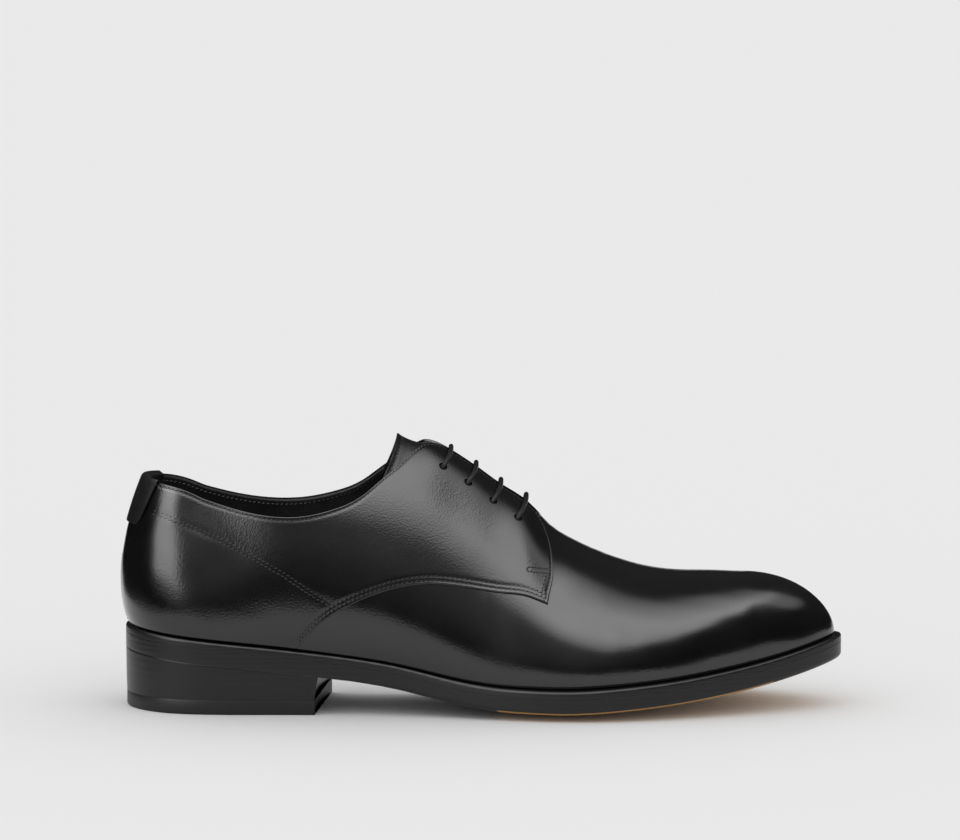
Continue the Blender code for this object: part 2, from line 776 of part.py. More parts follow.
def build_outsole():
    laps = even_laps(SOLE_LAPS)
    edge = outline(laps)
    rings = [with_height(edge, edge_height(edge[:, 0]) + OUTSOLE_THICKNESS)]
    for inset, drop in reversed(round_corner(EDGE_ROUND)):
        plan = inset_outline(laps, inset)
        rings.append(with_height(plan, edge_height(plan[:, 0]) + drop))
    for reach in UNDERSIDE_RINGS:
        rings.append(underside(laps, reach))
    count = len(laps)
    points = np.concatenate(rings)
    faces = cap_faces(0, count)
    for i in range(len(rings) - 1):
        for j in range(count):
            k = (j + 1) % count
            faces.append((i * count + j, i * count + k, (i + 1) * count + k, (i + 1) * count + j))
    return mesh_object("outsole", points, faces, BLACK_EDGE, 0.4)


def build_insole():
    laps = even_laps(SOLE_LAPS)
    inside_welt = inset_outline(laps, WELT_SHELF + GAP)
    inside_upper = feather(laps, VAMP_WALL + 2 * GAP)
    rings = [
        with_height(inside_welt, edge_height(inside_welt[:, 0]) + OUTSOLE_THICKNESS + GAP),
        with_height(inside_welt, edge_top(inside_welt[:, 0]) + GAP),
        with_height(inside_upper, edge_top(inside_upper[:, 0]) + GAP),
        with_height(inside_upper, edge_top(inside_upper[:, 0]) + GAP + INSOLE_THICKNESS),
    ]
    return plate("insole", rings, BLACK_LINING, 0.7)


def heel_ring(inset, breast_shift):
    """The heel's outline in plan: round the back from breast to breast, then across the breast."""
    turns = np.linspace(0, 1, COLUMN_SAMPLES)
    ends = []
    for side in (1, -1):
        turned = HEEL_LENGTH + breast_shift + side * math.tan(HEEL_BREAST_TURN) * HEEL_WIDTH / 2
        ends.append(float(np.interp(turned, outline(turns)[:, 0], turns)) * side)
    inner = np.linspace(0, ends[0], HEEL_LAPS + 1)
    outer = np.linspace(ends[1], 0, HEEL_LAPS + 1)[:-1]
    inner_side, outer_side = inset_outline(inner, inset), inset_outline(outer, inset)
    across = np.linspace(0, 1, BREAST_STEPS + 1)[1:-1, None]
    breast = inner_side[-1] * (1 - across) + outer_side[0] * across
    breast[:, 0] -= 4 * HEEL_BREAST_HOLLOW * (across * (1 - across))[:, 0]
    return np.concatenate([inner_side, breast, outer_side])


def heel_solid(name, levels, colour, roughness):
    """A stack of heel outlines: each level is an inset, a shift of the breast and a height."""
    rings = []
    for inset, shift, height in levels:
        plan = heel_ring(inset, shift)
        z = edge_height(plan[:, 0]) - GAP if height is None else np.full(len(plan), height)
        rings.append(with_height(plan, z))
    return plate(name, rings, colour, roughness)


def build_heel():
    foot = TOP_PIECE_THICKNESS + GAP
    heel_solid("heel_stack", (
        (HEEL_INSET, 0.0, None),
        (HEEL_INSET, -HEEL_BREAST_LEAN, foot),
    ), BLACK_EDGE, 0.45)
    heel_solid("top_piece", (
        (HEEL_INSET, -HEEL_BREAST_LEAN, TOP_PIECE_THICKNESS),
        (HEEL_INSET, -HEEL_BREAST_LEAN, TOP_PIECE_BEVEL),
        (HEEL_INSET + TOP_PIECE_BEVEL, -HEEL_BREAST_LEAN, 0.0),
    ), BLACK_RUBBER, 0.6)


def join_middle(grid, lengths):
    """Moves the middle column onto the crest, which the two sides reach at slightly different laps."""
    middle = TONGUE_COLUMNS // 2
    for i, length in enumerate(lengths):
        station = TONGUE_TIP + (TONGUE_ROOT - TONGUE_TIP) * length
        inner, outer = float(lap_at(station, 1)), float(lap_at(station, -1))
        depth = np.linalg.norm(grid[i, middle] - last(inner, 1.0))
        grid[i, middle] = (grid[i, middle] + lifted(outer, 1.0, -depth)) / 2


def build_tongue():
    """A sheet under the facings. Its rows run from the free end to the root in the vamp."""
    lengths = np.linspace(0, 1, TONGUE_ROWS)
    across = np.linspace(-1, 1, TONGUE_COLUMNS)
    outer = np.zeros((TONGUE_ROWS, TONGUE_COLUMNS, 3))
    inner = np.zeros_like(outer)
    for i, length in enumerate(lengths):
        for j, share in enumerate(across):
            free_end = TONGUE_TIP + (TONGUE_CORNER - TONGUE_TIP) * share**2
            station = free_end + (TONGUE_ROOT - free_end) * length
            sink = np.clip((station - TONGUE_SINK_FROM) / (TONGUE_SINK_TO - TONGUE_SINK_FROM), 0, 1)
            curl = max(0.0, 1 - (station - free_end) / TONGUE_FLARE_LENGTH) ** 2 * (1 - share**2)
            depth = QUARTER_LINING + TONGUE_GAP + (VAMP_WALL - QUARTER_LINING) * sink - TONGUE_FLARE * curl
            side = -1 if share < 0 else 1
            lap = float(lap_at(station, side))
            climb = climb_from_crest(lap, TONGUE_HALF_WIDTH * abs(share))
            outer[i, j] = lifted(lap, climb, -depth)
            inner[i, j] = lifted(lap, climb, -depth - TONGUE_WALL)
    for grid in (outer, inner):
        join_middle(grid, lengths)
    return sheet_solid("tongue", outer, inner, False, BLACK_LEATHER, 0.3)


def tab_profile(lap, drop):
    """The tab's side towards the upper and its far side, from its foot over the collar to the fold."""
    top = quarter_top(lap)
    edge = last(lap, top)
    rise = edge - last(lap, top - STEP_OF_CLIMB)
    per_climb = np.linalg.norm(rise) / STEP_OF_CLIMB
    rise /= np.linalg.norm(rise)
    square = lifted(lap, top, 1.0) - edge
    outside = QUARTER_STEP + TAB_GAP
    inside = -QUARTER_LINING - TAB_GAP
    climbs = [top - share * drop / per_climb for share in np.linspace(1, 0, TAB_ROWS)]
    fold = top - TAB_FOLD / per_climb
    near = [lifted(lap, climb, outside) for climb in climbs]
    near += [edge + square * outside + rise * TAB_GAP, edge + square * inside + rise * TAB_GAP]
    near.append(lifted(lap, fold, inside))
    over = rise * (TAB_GAP + TAB_WALL)
    far = [lifted(lap, climb, outside + TAB_WALL) for climb in climbs]
    far += [edge + square * (outside + TAB_WALL / 2) + over, edge + square * (inside - TAB_WALL / 2) + over]
    far.append(lifted(lap, fold, inside - TAB_WALL))
    return near, far


def build_heel_tab():
    """A strip across the back seam that folds over the collar, with round lower corners."""
    near, far = [], []
    for across in np.linspace(-1, 1, TAB_COLUMNS):
        turn = max(0.0, abs(across) - TAB_STRAIGHT) / (1 - TAB_STRAIGHT)
        drop = TAB_DROP - TAB_CORNER * (1 - math.sqrt(1 - turn**2))
        columns = [tab_profile(across * reach, drop) for reach in (TAB_LAP_FOOT, TAB_LAP_TOP)]
        shares = np.clip(np.linspace(0, 1, TAB_ROWS).tolist() + [1.0] * 3, 0, 1)[:, None]
        near.append(np.array(columns[0][0]) * (1 - shares) + np.array(columns[1][0]) * shares)
        far.append(np.array(columns[0][1]) * (1 - shares) + np.array(columns[1][1]) * shares)
    near = np.array(near).transpose(1, 0, 2)
    far = np.array(far).transpose(1, 0, 2)
    return sheet_solid("heel_tab", far, near, False, BLACK_LEATHER, 0.6)


def lace_lean(share):
    """How far forward of its eyelet a bar lies on its way to the crest. It bows forward a little."""
    return LACE_LEAN * share + LACE_BOW * share * (1 - share)


def build_laces():
    """Straight bars over the facings. A bar leans forward from its eyelets to the crest."""
    lie = QUARTER_STEP + 2 * GAP + LACE_RADIUS
    for row, x in enumerate(eyelet_stations()):
        halves = []
        for side in (-1, 1):
            middle, outwards = eyelet_frame(row, x, side)
            reach = eyelet_reach(row, x)
            half = [middle + outwards * (QUARTER_STEP - LACE_DIP)]
            half.append(middle + outwards * (QUARTER_STEP + LACE_RADIUS / 4))
            for share in np.linspace(LACE_BEND, 1 - facing_edge(x / SOLE_LENGTH) / reach, LACE_STEPS):
                lap = float(lap_at((x + lace_lean(share)) / SOLE_LENGTH, side))
                climb = climb_from_crest(lap, reach * (1 - share))
                half.append(Vector(lifted(lap, climb, lie)))
            halves.append(half)
        cord("lace_bar_%d" % (row + 1), halves[0] + halves[1][::-1])


def cord(name, points):
    curve = bpy.data.curves.new(name, "CURVE")
    curve.dimensions = "3D"
    curve.bevel_depth = LACE_RADIUS
    curve.bevel_resolution = 2
    curve.use_fill_caps = True
    spline = curve.splines.new("POLY")
    spline.points.add(len(points) - 1)
    for point, place in zip(spline.points, points):
        point.co = (*place, 1.0)
    obj = bpy.data.objects.new(name, curve)
    bpy.context.scene.collection.objects.link(obj)
    material = bpy.data.materials.new(name)
    material.use_nodes = True
    shader = material.node_tree.nodes["Principled BSDF"]
    shader.inputs["Base Color"].default_value = (*BLACK_CORD, 1.0)
    shader.inputs["Roughness"].default_value = 0.5
    curve.materials.append(material)
    return obj


def origin_of_box():
    """The middle of the shoe's box in plan: from the bulge of the heel to the tip of the toe."""
    climbs = np.linspace(0, 1, COLUMN_SAMPLES)
    back = lifted(0.0, climbs, QUARTER_STEP)[:, 0].min()
    turns = np.linspace(0, 1, COLUMN_SAMPLES * 4)
    y = (WIDTHS["inner"](turns).max() - WIDTHS["outer"](turns).max()) / 2 * BALL_WIDTH
    return np.array([(back + SOLE_LENGTH) / 2, y, 0.0])


def place_on_origin():
    shift = Matrix.Translation(-Vector(origin_of_box()))
    for obj in bpy.data.objects:
        if obj.type in ("MESH", "CURVE"):
            obj.data.transform(shift)


def main():
    for obj in list(bpy.data.objects):
        bpy.data.objects.remove(obj)
    build_upper()
    build_tongue()
    build_insole()
    build_welt()
    build_outsole()
    build_heel()
    build_heel_tab()
    build_laces()
    place_on_origin()


main()
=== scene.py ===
"""Derby shoe: the finished look of the part.

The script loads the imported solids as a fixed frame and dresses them: fine leather skins, stitches,
laces through the eyelets, the bottom and the studio. Metres, +Z up, the toe towards +X.
The upper is drawn on the same surface as the solids, the last. The lap of a point runs round the
foot from the toe (-1) along the outer side to the back of the heel (0) and on to the toe (1), and
the climb runs from the sole (0) up to the crest of the foot (1).
"""

import math

import bmesh
import bpy
import numpy as np
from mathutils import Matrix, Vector


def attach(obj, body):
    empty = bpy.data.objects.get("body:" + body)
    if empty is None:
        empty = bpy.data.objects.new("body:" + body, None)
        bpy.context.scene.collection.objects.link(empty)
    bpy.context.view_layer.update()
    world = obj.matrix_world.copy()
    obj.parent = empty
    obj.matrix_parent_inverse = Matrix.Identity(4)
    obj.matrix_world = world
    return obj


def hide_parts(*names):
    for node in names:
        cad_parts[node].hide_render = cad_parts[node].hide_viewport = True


bl_info = {
    "name": "Derby shoe",
    "version": (1, 0, 0),
    "blender": (4, 5, 0),
    "location": "View3D > Sidebar > Shoe",
    "description": "Dresses the derby shoe: leather skins, seams, laces, bottom and studio",
    "category": "Object",
}

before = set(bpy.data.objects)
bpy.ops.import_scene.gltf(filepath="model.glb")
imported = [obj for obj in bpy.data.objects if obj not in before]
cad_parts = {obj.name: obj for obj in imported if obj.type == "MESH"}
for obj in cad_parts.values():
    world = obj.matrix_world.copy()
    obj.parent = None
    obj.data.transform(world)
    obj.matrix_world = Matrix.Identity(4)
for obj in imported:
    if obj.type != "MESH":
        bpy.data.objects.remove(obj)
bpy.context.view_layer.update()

# Driving dimensions of the last and the bottom
SOLE_LENGTH = 0.305
BALL_WIDTH = 0.105
INSTEP_RISE = 0.095
HEEL_RISE = 0.0252
TOE_SPRING = 0.0206
BOTTOM_CAMBER = 0.0037
HEEL_AXIS = 0.0335
TOE_BOX = 0.041

# Thicknesses of the layers, and the gap left between two pieces that touch
GAP = 0.0003
OUTSOLE_THICKNESS = 0.0062
WELT_THICKNESS = 0.0035
VAMP_WALL = 0.0022
QUARTER_STEP = 0.0011
QUARTER_LINING = 0.0013
TONGUE_WALL = 0.0020
TAB_SKIN = 0.0007

# Welt, heel and edges
WELT_SHELF = 0.0095
EDGE_ROUND = 0.0017
EDGE_OVER_HEEL = 0.00015
EDGE_BLEND = 0.012
HEEL_LENGTH = 0.0856
HEEL_WIDTH = 0.066
HEEL_INSET = 0.0004
HEEL_BREAST_TURN = math.radians(6.0)
HEEL_BREAST_HOLLOW = 0.0020
HEEL_BREAST_LEAN = 0.0015
TOP_PIECE_THICKNESS = 0.0060
TOP_PIECE_BEVEL = 0.0005

# Facings, tongue, tab and laces
FACING_GAP_TOP = 0.0040
FACING_GAP_FOOT = 0.0160
VAMP_LAP = 0.0085
COUNTER_DROP = 0.0128
TONGUE_HALF_WIDTH = 0.0260
TONGUE_FLARE = 0.0026
TONGUE_FLARE_LENGTH = 0.030
TAB_LAP_TOP = 0.093
TAB_LAP_FOOT = 0.075
TAB_GAP = 0.0004
TAB_DROP = 0.0215
TAB_FOLD = 0.0055
TAB_CORNER = 0.0050
EYELET_RADIUS = 0.0019
EYELET_INSET = 0.0145
EYELET_TOP_MARGIN = 0.0080
EYELET_FOOT_MARGIN = 0.0059
EYELET_SPREAD = 0.0005
EYELET_ROWS = 4
LACE_LEAN = 0.0026
LACE_BOW = 0.0040
# How high a bar lies where it has just left its eyelet. Each row: share of its way to the crest, rise
LACE_RISE = ((0.035, 0.0008), (0.10, 0.0016), (0.20, 0.0020))
TONGUE_GAP = 0.0008

# Half widths of the sole's edge from the line between heel back and toe tip, as shares of
# BALL_WIDTH, at stations that are shares of SOLE_LENGTH from the back of the heel
OUTLINE_COLUMNS = ("station", "outer", "inner")
OUTLINE = (
    (0.000, 0.000, 0.000),
    (0.025, 0.196, 0.196),
    (0.060, 0.276, 0.275),
    (0.110, 0.315, 0.306),
    (0.180, 0.324, 0.305),
    (0.260, 0.326, 0.292),
    (0.340, 0.341, 0.268),
    (0.420, 0.384, 0.258),
    (0.500, 0.451, 0.300),
    (0.580, 0.509, 0.388),
    (0.640, 0.524, 0.448),
    (0.700, 0.507, 0.478),
    (0.760, 0.460, 0.467),
    (0.820, 0.393, 0.423),
    (0.880, 0.311, 0.350),
    (0.930, 0.235, 0.270),
    (0.970, 0.152, 0.176),
    (1.000, 0.000, 0.000),
)

# How far the sole's edge stands out from the foot of the upper, as shares of BALL_WIDTH
MARGIN_COLUMNS = ("station", "margin")
MARGIN = (
    (0.00, 0.023),
    (0.15, 0.019),
    (0.30, 0.014),
    (0.42, 0.019),
    (0.55, 0.038),
    (0.70, 0.042),
    (0.85, 0.038),
    (1.00, 0.029),
)

# The lower edge of the sole seen from the side: its part of HEEL_RISE, its part of TOE_SPRING,
# and how much of BOTTOM_CAMBER the middle of the sole hangs below its edges
BOTTOM_COLUMNS = ("station", "heel", "toe", "camber")
BOTTOM = (
    (0.000, 1.000, 0.000, 0.00),
    (0.100, 0.861, 0.000, 0.00),
    (0.200, 0.742, 0.000, 0.00),
    (0.300, 0.603, 0.000, 0.10),
    (0.384, 0.448, 0.000, 0.45),
    (0.450, 0.275, 0.000, 0.80),
    (0.510, 0.166, 0.000, 0.97),
    (0.568, 0.132, 0.000, 1.00),
    (0.630, 0.098, 0.040, 1.00),
    (0.690, 0.060, 0.140, 0.95),
    (0.753, 0.020, 0.268, 0.80),
    (0.836, 0.000, 0.452, 0.60),
    (0.897, 0.000, 0.618, 0.45),
    (0.958, 0.000, 0.836, 0.30),
    (1.000, 0.000, 1.000, 0.20),
)

# Height of the crest of the foot above the sole's top edge, as shares of INSTEP_RISE
CREST_COLUMNS = ("station", "rise")
CREST = (
    (0.000, 0.787),
    (0.110, 0.847),
    (0.220, 0.886),
    (0.330, 0.975),
    (0.393, 0.996),
    (0.430, 0.987),
    (0.456, 0.957),
    (0.492, 0.899),
    (0.525, 0.836),
    (0.560, 0.770),
    (0.594, 0.661),
    (0.620, 0.606),
    (0.656, 0.546),
    (0.700, 0.483),
    (0.740, 0.441),
    (0.780, 0.417),
    (0.820, 0.400),
    (0.866, 0.373),
    (1.000, 0.373),
)

# Each section of the last is one curve from the sole to the crest. side_rise is the height of its
# first handle, a share of INSTEP_RISE, and bulge how far out the handle lies, a share of
# BALL_WIDTH. shoulder is the half width of the second handle and top_width that of the section's
# upper end, both shares of the half width at the sole. drop is how far the second handle hangs
# below that end, a share of INSTEP_RISE.
SECTION_COLUMNS = (
    "station", "side_rise", "outer_bulge", "inner_bulge",
    "outer_shoulder", "inner_shoulder", "drop", "top_width",
)
SECTION = (
    (0.000, 0.145, 0.057, 0.057, 1.22, 1.22, 0.379, 0.64),
    (0.110, 0.195, 0.047, 0.047, 0.76, 0.76, 0.316, 0.41),
    (0.220, 0.213, 0.060, 0.064, 0.95, 0.99, 0.290, 0.60),
    (0.330, 0.249, 0.092, 0.100, 0.86, 1.00, 0.170, 0.20),
    (0.393, 0.285, 0.100, 0.125, 0.68, 0.88, 0.020, 0.00),
    (0.450, 0.290, 0.076, 0.120, 0.60, 0.84, 0.000, 0.00),
    (0.490, 0.290, 0.052, 0.105, 0.60, 0.79, 0.000, 0.00),
    (0.560, 0.265, 0.042, 0.070, 0.59, 0.69, 0.000, 0.00),
    (0.640, 0.237, 0.043, 0.045, 0.59, 0.63, 0.000, 0.00),
    (0.720, 0.215, 0.035, 0.035, 0.61, 0.62, 0.000, 0.00),
    (0.800, 0.205, 0.030, 0.030, 0.65, 0.65, 0.000, 0.00),
    (0.866, 0.195, 0.026, 0.026, 0.67, 0.66, 0.000, 0.00),
    (1.000, 0.105, 0.010, 0.010, 0.60, 0.60, 0.000, 0.00),
)

# Where the crest runs in plan, as shares of BALL_WIDTH towards the inner side
RIDGE_COLUMNS = ("station", "offset")
RIDGE = (
    (0.000, 0.000),
    (0.330, 0.000),
    (0.450, 0.020),
    (0.560, 0.038),
    (0.660, 0.044),
    (0.780, 0.034),
    (0.866, 0.020),
    (1.000, 0.010),
)

# The collar's edge, as shares of the rise of the section that it crosses
COLLAR_COLUMNS = ("station", "height")
COLLAR = (
    (0.000, 0.836),
    (0.040, 0.809),
    (0.080, 0.772),
    (0.135, 0.715),
    (0.180, 0.682),
    (0.220, 0.668),
    (0.255, 0.670),
    (0.292, 0.691),
    (0.330, 0.741),
    (0.363, 0.828),
    (0.383, 0.882),
    (0.404, 0.950),
    (0.416, 0.983),
)

# The lower edge of the quarter, from the sole forward to its front corner, and the front edge
# from that corner up to the facing, as shares of the rise of the section that they cross. Each
# row of FRONT has a station and a height too.
QUARTER_FOOT = 0.238
HEM_COLUMNS = ("station", "height")
HEM = (
    (0.238, 0.000),
    (0.256, 0.088),
    (0.278, 0.170),
    (0.310, 0.243),
    (0.346, 0.306),
    (0.382, 0.358),
    (0.418, 0.399),
    (0.454, 0.434),
    (0.502, 0.476),
    (0.557, 0.525),
    (0.589, 0.551),
)
FRONT = (
    (0.589, 0.551),
    (0.592, 0.632),
    (0.5955, 0.717),
    (0.5952, 0.800),
    (0.5935, 0.864),
    (0.5885, 0.918),
    (0.5815, 0.960),
)
FRONT_FROM = 0.460
FACING_TURN = 0.566

# Stations of the tongue: its free end on the crest and at its sides, which lie further back, its
# root, and where it sinks from under the quarter to under the vamp
TONGUE_TIP = 0.379
TONGUE_CORNER = 0.356
TONGUE_ROOT = 0.600
TONGUE_SINK_FROM = 0.475
TONGUE_SINK_TO = 0.500

# The vamp's edge where it closes over the foot under the facings: how far from the crest it lies,
# over the surface, as a share of INSTEP_RISE
THROAT_COLUMNS = ("station", "distance")
THROAT = (
    (0.502, 0.470),
    (0.524, 0.395),
    (0.542, 0.315),
    (0.556, 0.232),
    (0.566, 0.145),
    (0.573, 0.065),
    (0.579, 0.000),
)

# Steps of the slopes and small tolerances
STEP_OF_LAP = 0.0008
STEP_OF_CLIMB = 0.002
STEP_OF_X = 0.0003
LAP_TOLERANCE = 0.00008
SAMPLES = 240
HEEL_LAPS = 60
BREAST_STEPS = 24
TAB_STRAIGHT = 0.65
MERGE_DISTANCE = 0.000004
SHARP_ANGLE = math.radians(38)
VAMP_HIGHEST = 0.97
QUARTER_FOOT_CLIMB = 0.012
DECK = OUTSOLE_THICKNESS + GAP + WELT_THICKNESS


def smooth_curve(knots, values):
    """The natural cubic spline through the points, as a function."""
    x = np.asarray(knots, float)
    y = np.asarray(values, float)
    count = len(x)
    span = np.diff(x)
    slope = np.diff(y) / span
    system = np.eye(count)
    target = np.zeros(count)
    for i in range(1, count - 1):
        system[i, i - 1 : i + 2] = span[i - 1], 2 * (span[i - 1] + span[i]), span[i]
        target[i] = 6 * (slope[i] - slope[i - 1])
    bend = np.linalg.solve(system, target)

    def at(where):
        t = np.clip(where, x[0], x[-1])
        i = np.clip(np.searchsorted(x, t) - 1, 0, count - 2)
        a = (x[i + 1] - t) / span[i]
        b = 1 - a
        curve = ((a**3 - a) * bend[i] + (b**3 - b) * bend[i + 1]) * span[i] ** 2 / 6
        return a * y[i] + b * y[i + 1] + curve

    return at


def table_curves(columns, rows, key=lambda station: station):
    """One smooth curve for each column of a table, by the column's name."""
    cells = np.array(rows, float)
    knots = key(cells[:, 0])
    return {name: smooth_curve(knots, cells[:, i]) for i, name in enumerate(columns) if i}


def turn_of(station):
    """The share of the half lap at a station: the ends of the outline are round in it."""
    return np.arccos(1 - 2 * np.clip(station, 0, 1)) / math.pi


WIDTHS = table_curves(OUTLINE_COLUMNS, OUTLINE, turn_of)
MARGINS = table_curves(MARGIN_COLUMNS, MARGIN)
BOTTOMS = table_curves(BOTTOM_COLUMNS, BOTTOM)
CRESTS = table_curves(CREST_COLUMNS, CREST)
SECTIONS = table_curves(SECTION_COLUMNS, SECTION)
RIDGES = table_curves(RIDGE_COLUMNS, RIDGE)
COLLARS = table_curves(COLLAR_COLUMNS, COLLAR)
HEMS = table_curves(HEM_COLUMNS, HEM)
THROATS = table_curves(THROAT_COLUMNS, THROAT)


def outline(lap):
    """The sole's edge in plan."""
    lap = (np.asarray(lap, float) + 1) % 2 - 1
    turn = np.abs(lap)
    x = SOLE_LENGTH * (1 - np.cos(math.pi * turn)) / 2
    y = np.where(lap < 0, -WIDTHS["outer"](turn), WIDTHS["inner"](turn)) * BALL_WIDTH
    return np.stack([x, y], axis=-1)


def inset_outline(lap, inset):
    """The sole's edge in plan, moved inwards."""
    ahead = outline(np.asarray(lap) + STEP_OF_LAP) - outline(np.asarray(lap) - STEP_OF_LAP)
    ahead /= np.linalg.norm(ahead, axis=-1, keepdims=True)
    outwards = np.stack([-ahead[..., 1], ahead[..., 0]], axis=-1)
    return outline(lap) - outwards * np.asarray(inset)[..., None]


def feather(lap, inset=0.0):
    """The line where the upper meets the sole, in plan, moved inwards by the inset."""
    station = outline(lap)[..., 0] / SOLE_LENGTH
    return inset_outline(lap, MARGINS["margin"](station) * BALL_WIDTH + inset)


def with_height(plan, z):
    return np.concatenate([plan, np.asarray(z)[..., None]], axis=-1)


def ridge_point(x):
    """The point in plan on the line that the crest follows, between heel axis and toe box."""
    x = np.clip(x, HEEL_AXIS, SOLE_LENGTH - TOE_BOX)
    return np.stack([x, RIDGES["offset"](x / SOLE_LENGTH) * BALL_WIDTH], axis=-1)


def edge_height(x):
    """Height of the sole's lower edge."""
    station = np.asarray(x) / SOLE_LENGTH
    return HEEL_RISE * BOTTOMS["heel"](station) + TOE_SPRING * BOTTOMS["toe"](station)


def underside(lap, reach):
    """The sole's underside at a share of the way from the ridge line to the edge, flat on the floor."""
    edge = outline(lap)
    middle = ridge_point(edge[..., 0])
    plan = middle + (edge - middle) * reach
    hang = BOTTOM_CAMBER * BOTTOMS["camber"](plan[..., 0] / SOLE_LENGTH) * (1 - reach**2)
    return with_height(plan, np.maximum(edge_height(plan[..., 0]) - hang, 0))


def crest_rise(station):
    return CRESTS["rise"](station) * INSTEP_RISE


def edge_top(x):
    """Height of the welt's upper face at the sole's edge."""
    return edge_height(x) + DECK


def crest_height(x):
    return edge_top(x) + crest_rise(x / SOLE_LENGTH)


def last(lap, climb):
    """The outside of the vamp."""
    lap, climb = np.broadcast_arrays(np.asarray(lap, float), np.asarray(climb, float))
    foot = feather(lap)
    x = foot[..., 0]
    middle = ridge_point(x)
    away = foot - middle
    half = np.linalg.norm(away, axis=-1)
    away = away / half[..., None]
    station = np.clip(x / SOLE_LENGTH, 0, 1)
    crest_at = np.minimum(x, SOLE_LENGTH - TOE_BOX)
    foot_z = edge_top(x) + GAP
    top_z = crest_height(crest_at)
    ahead = (crest_height(crest_at) - crest_height(crest_at - STEP_OF_X)) / STEP_OF_X
    part = {name: curve(station) for name, curve in SECTIONS.items()}
    side = _blend(part["outer_bulge"], part["inner_bulge"], away[..., 1])
    shoulder = half * _blend(part["outer_shoulder"], part["inner_shoulder"], away[..., 1])
    in_toe = np.where(x > SOLE_LENGTH - TOE_BOX, 1.0, 0.0)
    handles = (
        (half, foot_z),
        (half + side * BALL_WIDTH, foot_z + part["side_rise"] * INSTEP_RISE),
        (shoulder, top_z - np.maximum(part["drop"], 0) * INSTEP_RISE
         + in_toe * away[..., 0] * ahead * shoulder),
        (half * np.maximum(part["top_width"], 0), top_z),
    )
    rest = 1 - climb
    shares = (rest**3, 3 * rest**2 * climb, 3 * rest * climb**2, climb**3)
    out = sum(share * handle[0] for share, handle in zip(shares, handles))
    z = sum(share * handle[1] for share, handle in zip(shares, handles))
    return with_height(middle + away * out[..., None], z)


def _blend(outer, inner, sideways):
    """The outer side's value turning into the inner side's one round the heel and the toe."""
    share = (np.clip(sideways, -1, 1) + 1) / 2
    return outer + (inner - outer) * share


def lifted(lap, climb, lift):
    """A point this far outside the last, square to it."""
    lap, climb = np.broadcast_arrays(np.asarray(lap, float), np.asarray(climb, float))
    inner_climb = np.minimum(climb, 1 - STEP_OF_CLIMB)
    along = last(lap + STEP_OF_LAP, inner_climb) - last(lap - STEP_OF_LAP, inner_climb)
    up = last(lap, inner_climb + STEP_OF_CLIMB / 2) - last(lap, inner_climb - STEP_OF_CLIMB / 2)
    square = np.cross(up, along)
    square /= np.linalg.norm(square, axis=-1, keepdims=True)
    return last(lap, climb) + square * np.asarray(lift)[..., None]


def lap_at(station, side):
    """The lap of the point of the last's foot line at a station, on the outer (-1) or inner (1) side."""
    laps = side * np.linspace(0, 1, SAMPLES * 4)
    return np.interp(station * SOLE_LENGTH, feather(laps)[:, 0], laps)


def laps_round_heel(station, count):
    """Laps from the outer side's station round the heel to the inner side's, count on each side."""
    outer, inner = (np.linspace(0, float(lap_at(station, side)), count) for side in (-1, 1))
    return np.concatenate([outer[::-1], inner[1:]])


def climb_at_height(lap, height):
    """How far up the section a height, as a share of its rise, lies."""
    climbs = np.linspace(0, 1, SAMPLES)
    z = last(lap, climbs)[:, 2]
    x = feather(np.array([lap]))[0, 0]
    return float(np.interp(edge_top(x) + height * crest_rise(x / SOLE_LENGTH), z, climbs))


def climb_from_crest(lap, distance):
    """How far up the section a point lies that is this far from the crest, over the surface."""
    climbs = np.linspace(0, 1, SAMPLES)
    points = last(lap, climbs)[::-1]
    walked = np.concatenate([[0], np.cumsum(np.linalg.norm(np.diff(points, axis=0), axis=1))])
    return float(np.interp(distance, walked, climbs[::-1]))


def vamp_top(lap):
    """How far up the vamp's own wall goes: under the quarter, and closed over the foot in front."""
    if abs(lap) >= lap_at(THROAT[-1][0], 1) - LAP_TOLERANCE:
        return 1.0
    station = feather(np.array([lap]))[0, 0] / SOLE_LENGTH
    hem = min(HEMS["height"](station) + VAMP_LAP / crest_rise(station), VAMP_HIGHEST)
    behind = min(COLLARS["height"](station) - COUNTER_DROP / crest_rise(station), VAMP_HIGHEST)
    mix = np.clip((station - QUARTER_FOOT) / (TONGUE_TIP - QUARTER_FOOT), 0, 1)
    mix = mix * mix * (3 - 2 * mix)
    low = climb_at_height(lap, behind * (1 - mix) + hem * mix)
    if station < THROAT[0][0]:
        return low
    return max(low, climb_from_crest(lap, float(THROATS["distance"](station)) * INSTEP_RISE))


def facing_edge(station):
    """How far the facing's edge lies from the crest, over the surface."""
    share = np.clip((station - COLLAR[-1][0]) / (FACING_TURN - COLLAR[-1][0]), 0, 1)
    return (FACING_GAP_TOP + (FACING_GAP_FOOT - FACING_GAP_TOP) * share**2) / 2


def quarter_top(lap):
    """The climb of the collar's edge and, in front of it, of the facing's edge."""
    station = feather(np.array([lap]))[0, 0] / SOLE_LENGTH
    facing = climb_from_crest(lap, facing_edge(station))
    if station >= CORNER_TO:
        return facing
    if station >= COLLAR[-1][0]:
        rise = (COLLAR[-1][1] - COLLAR[-2][1]) / (COLLAR[-1][0] - COLLAR[-2][0])
        collar = climb_at_height(lap, COLLAR[-1][1]) + (station - COLLAR[-1][0]) * rise * CORNER_RISE
    else:
        collar = climb_at_height(lap, float(COLLARS["height"](station)))
    near = max(CORNER_BLEND - abs(collar - facing), 0.0) / CORNER_BLEND
    return min(collar, facing) - near * near * CORNER_BLEND / 4


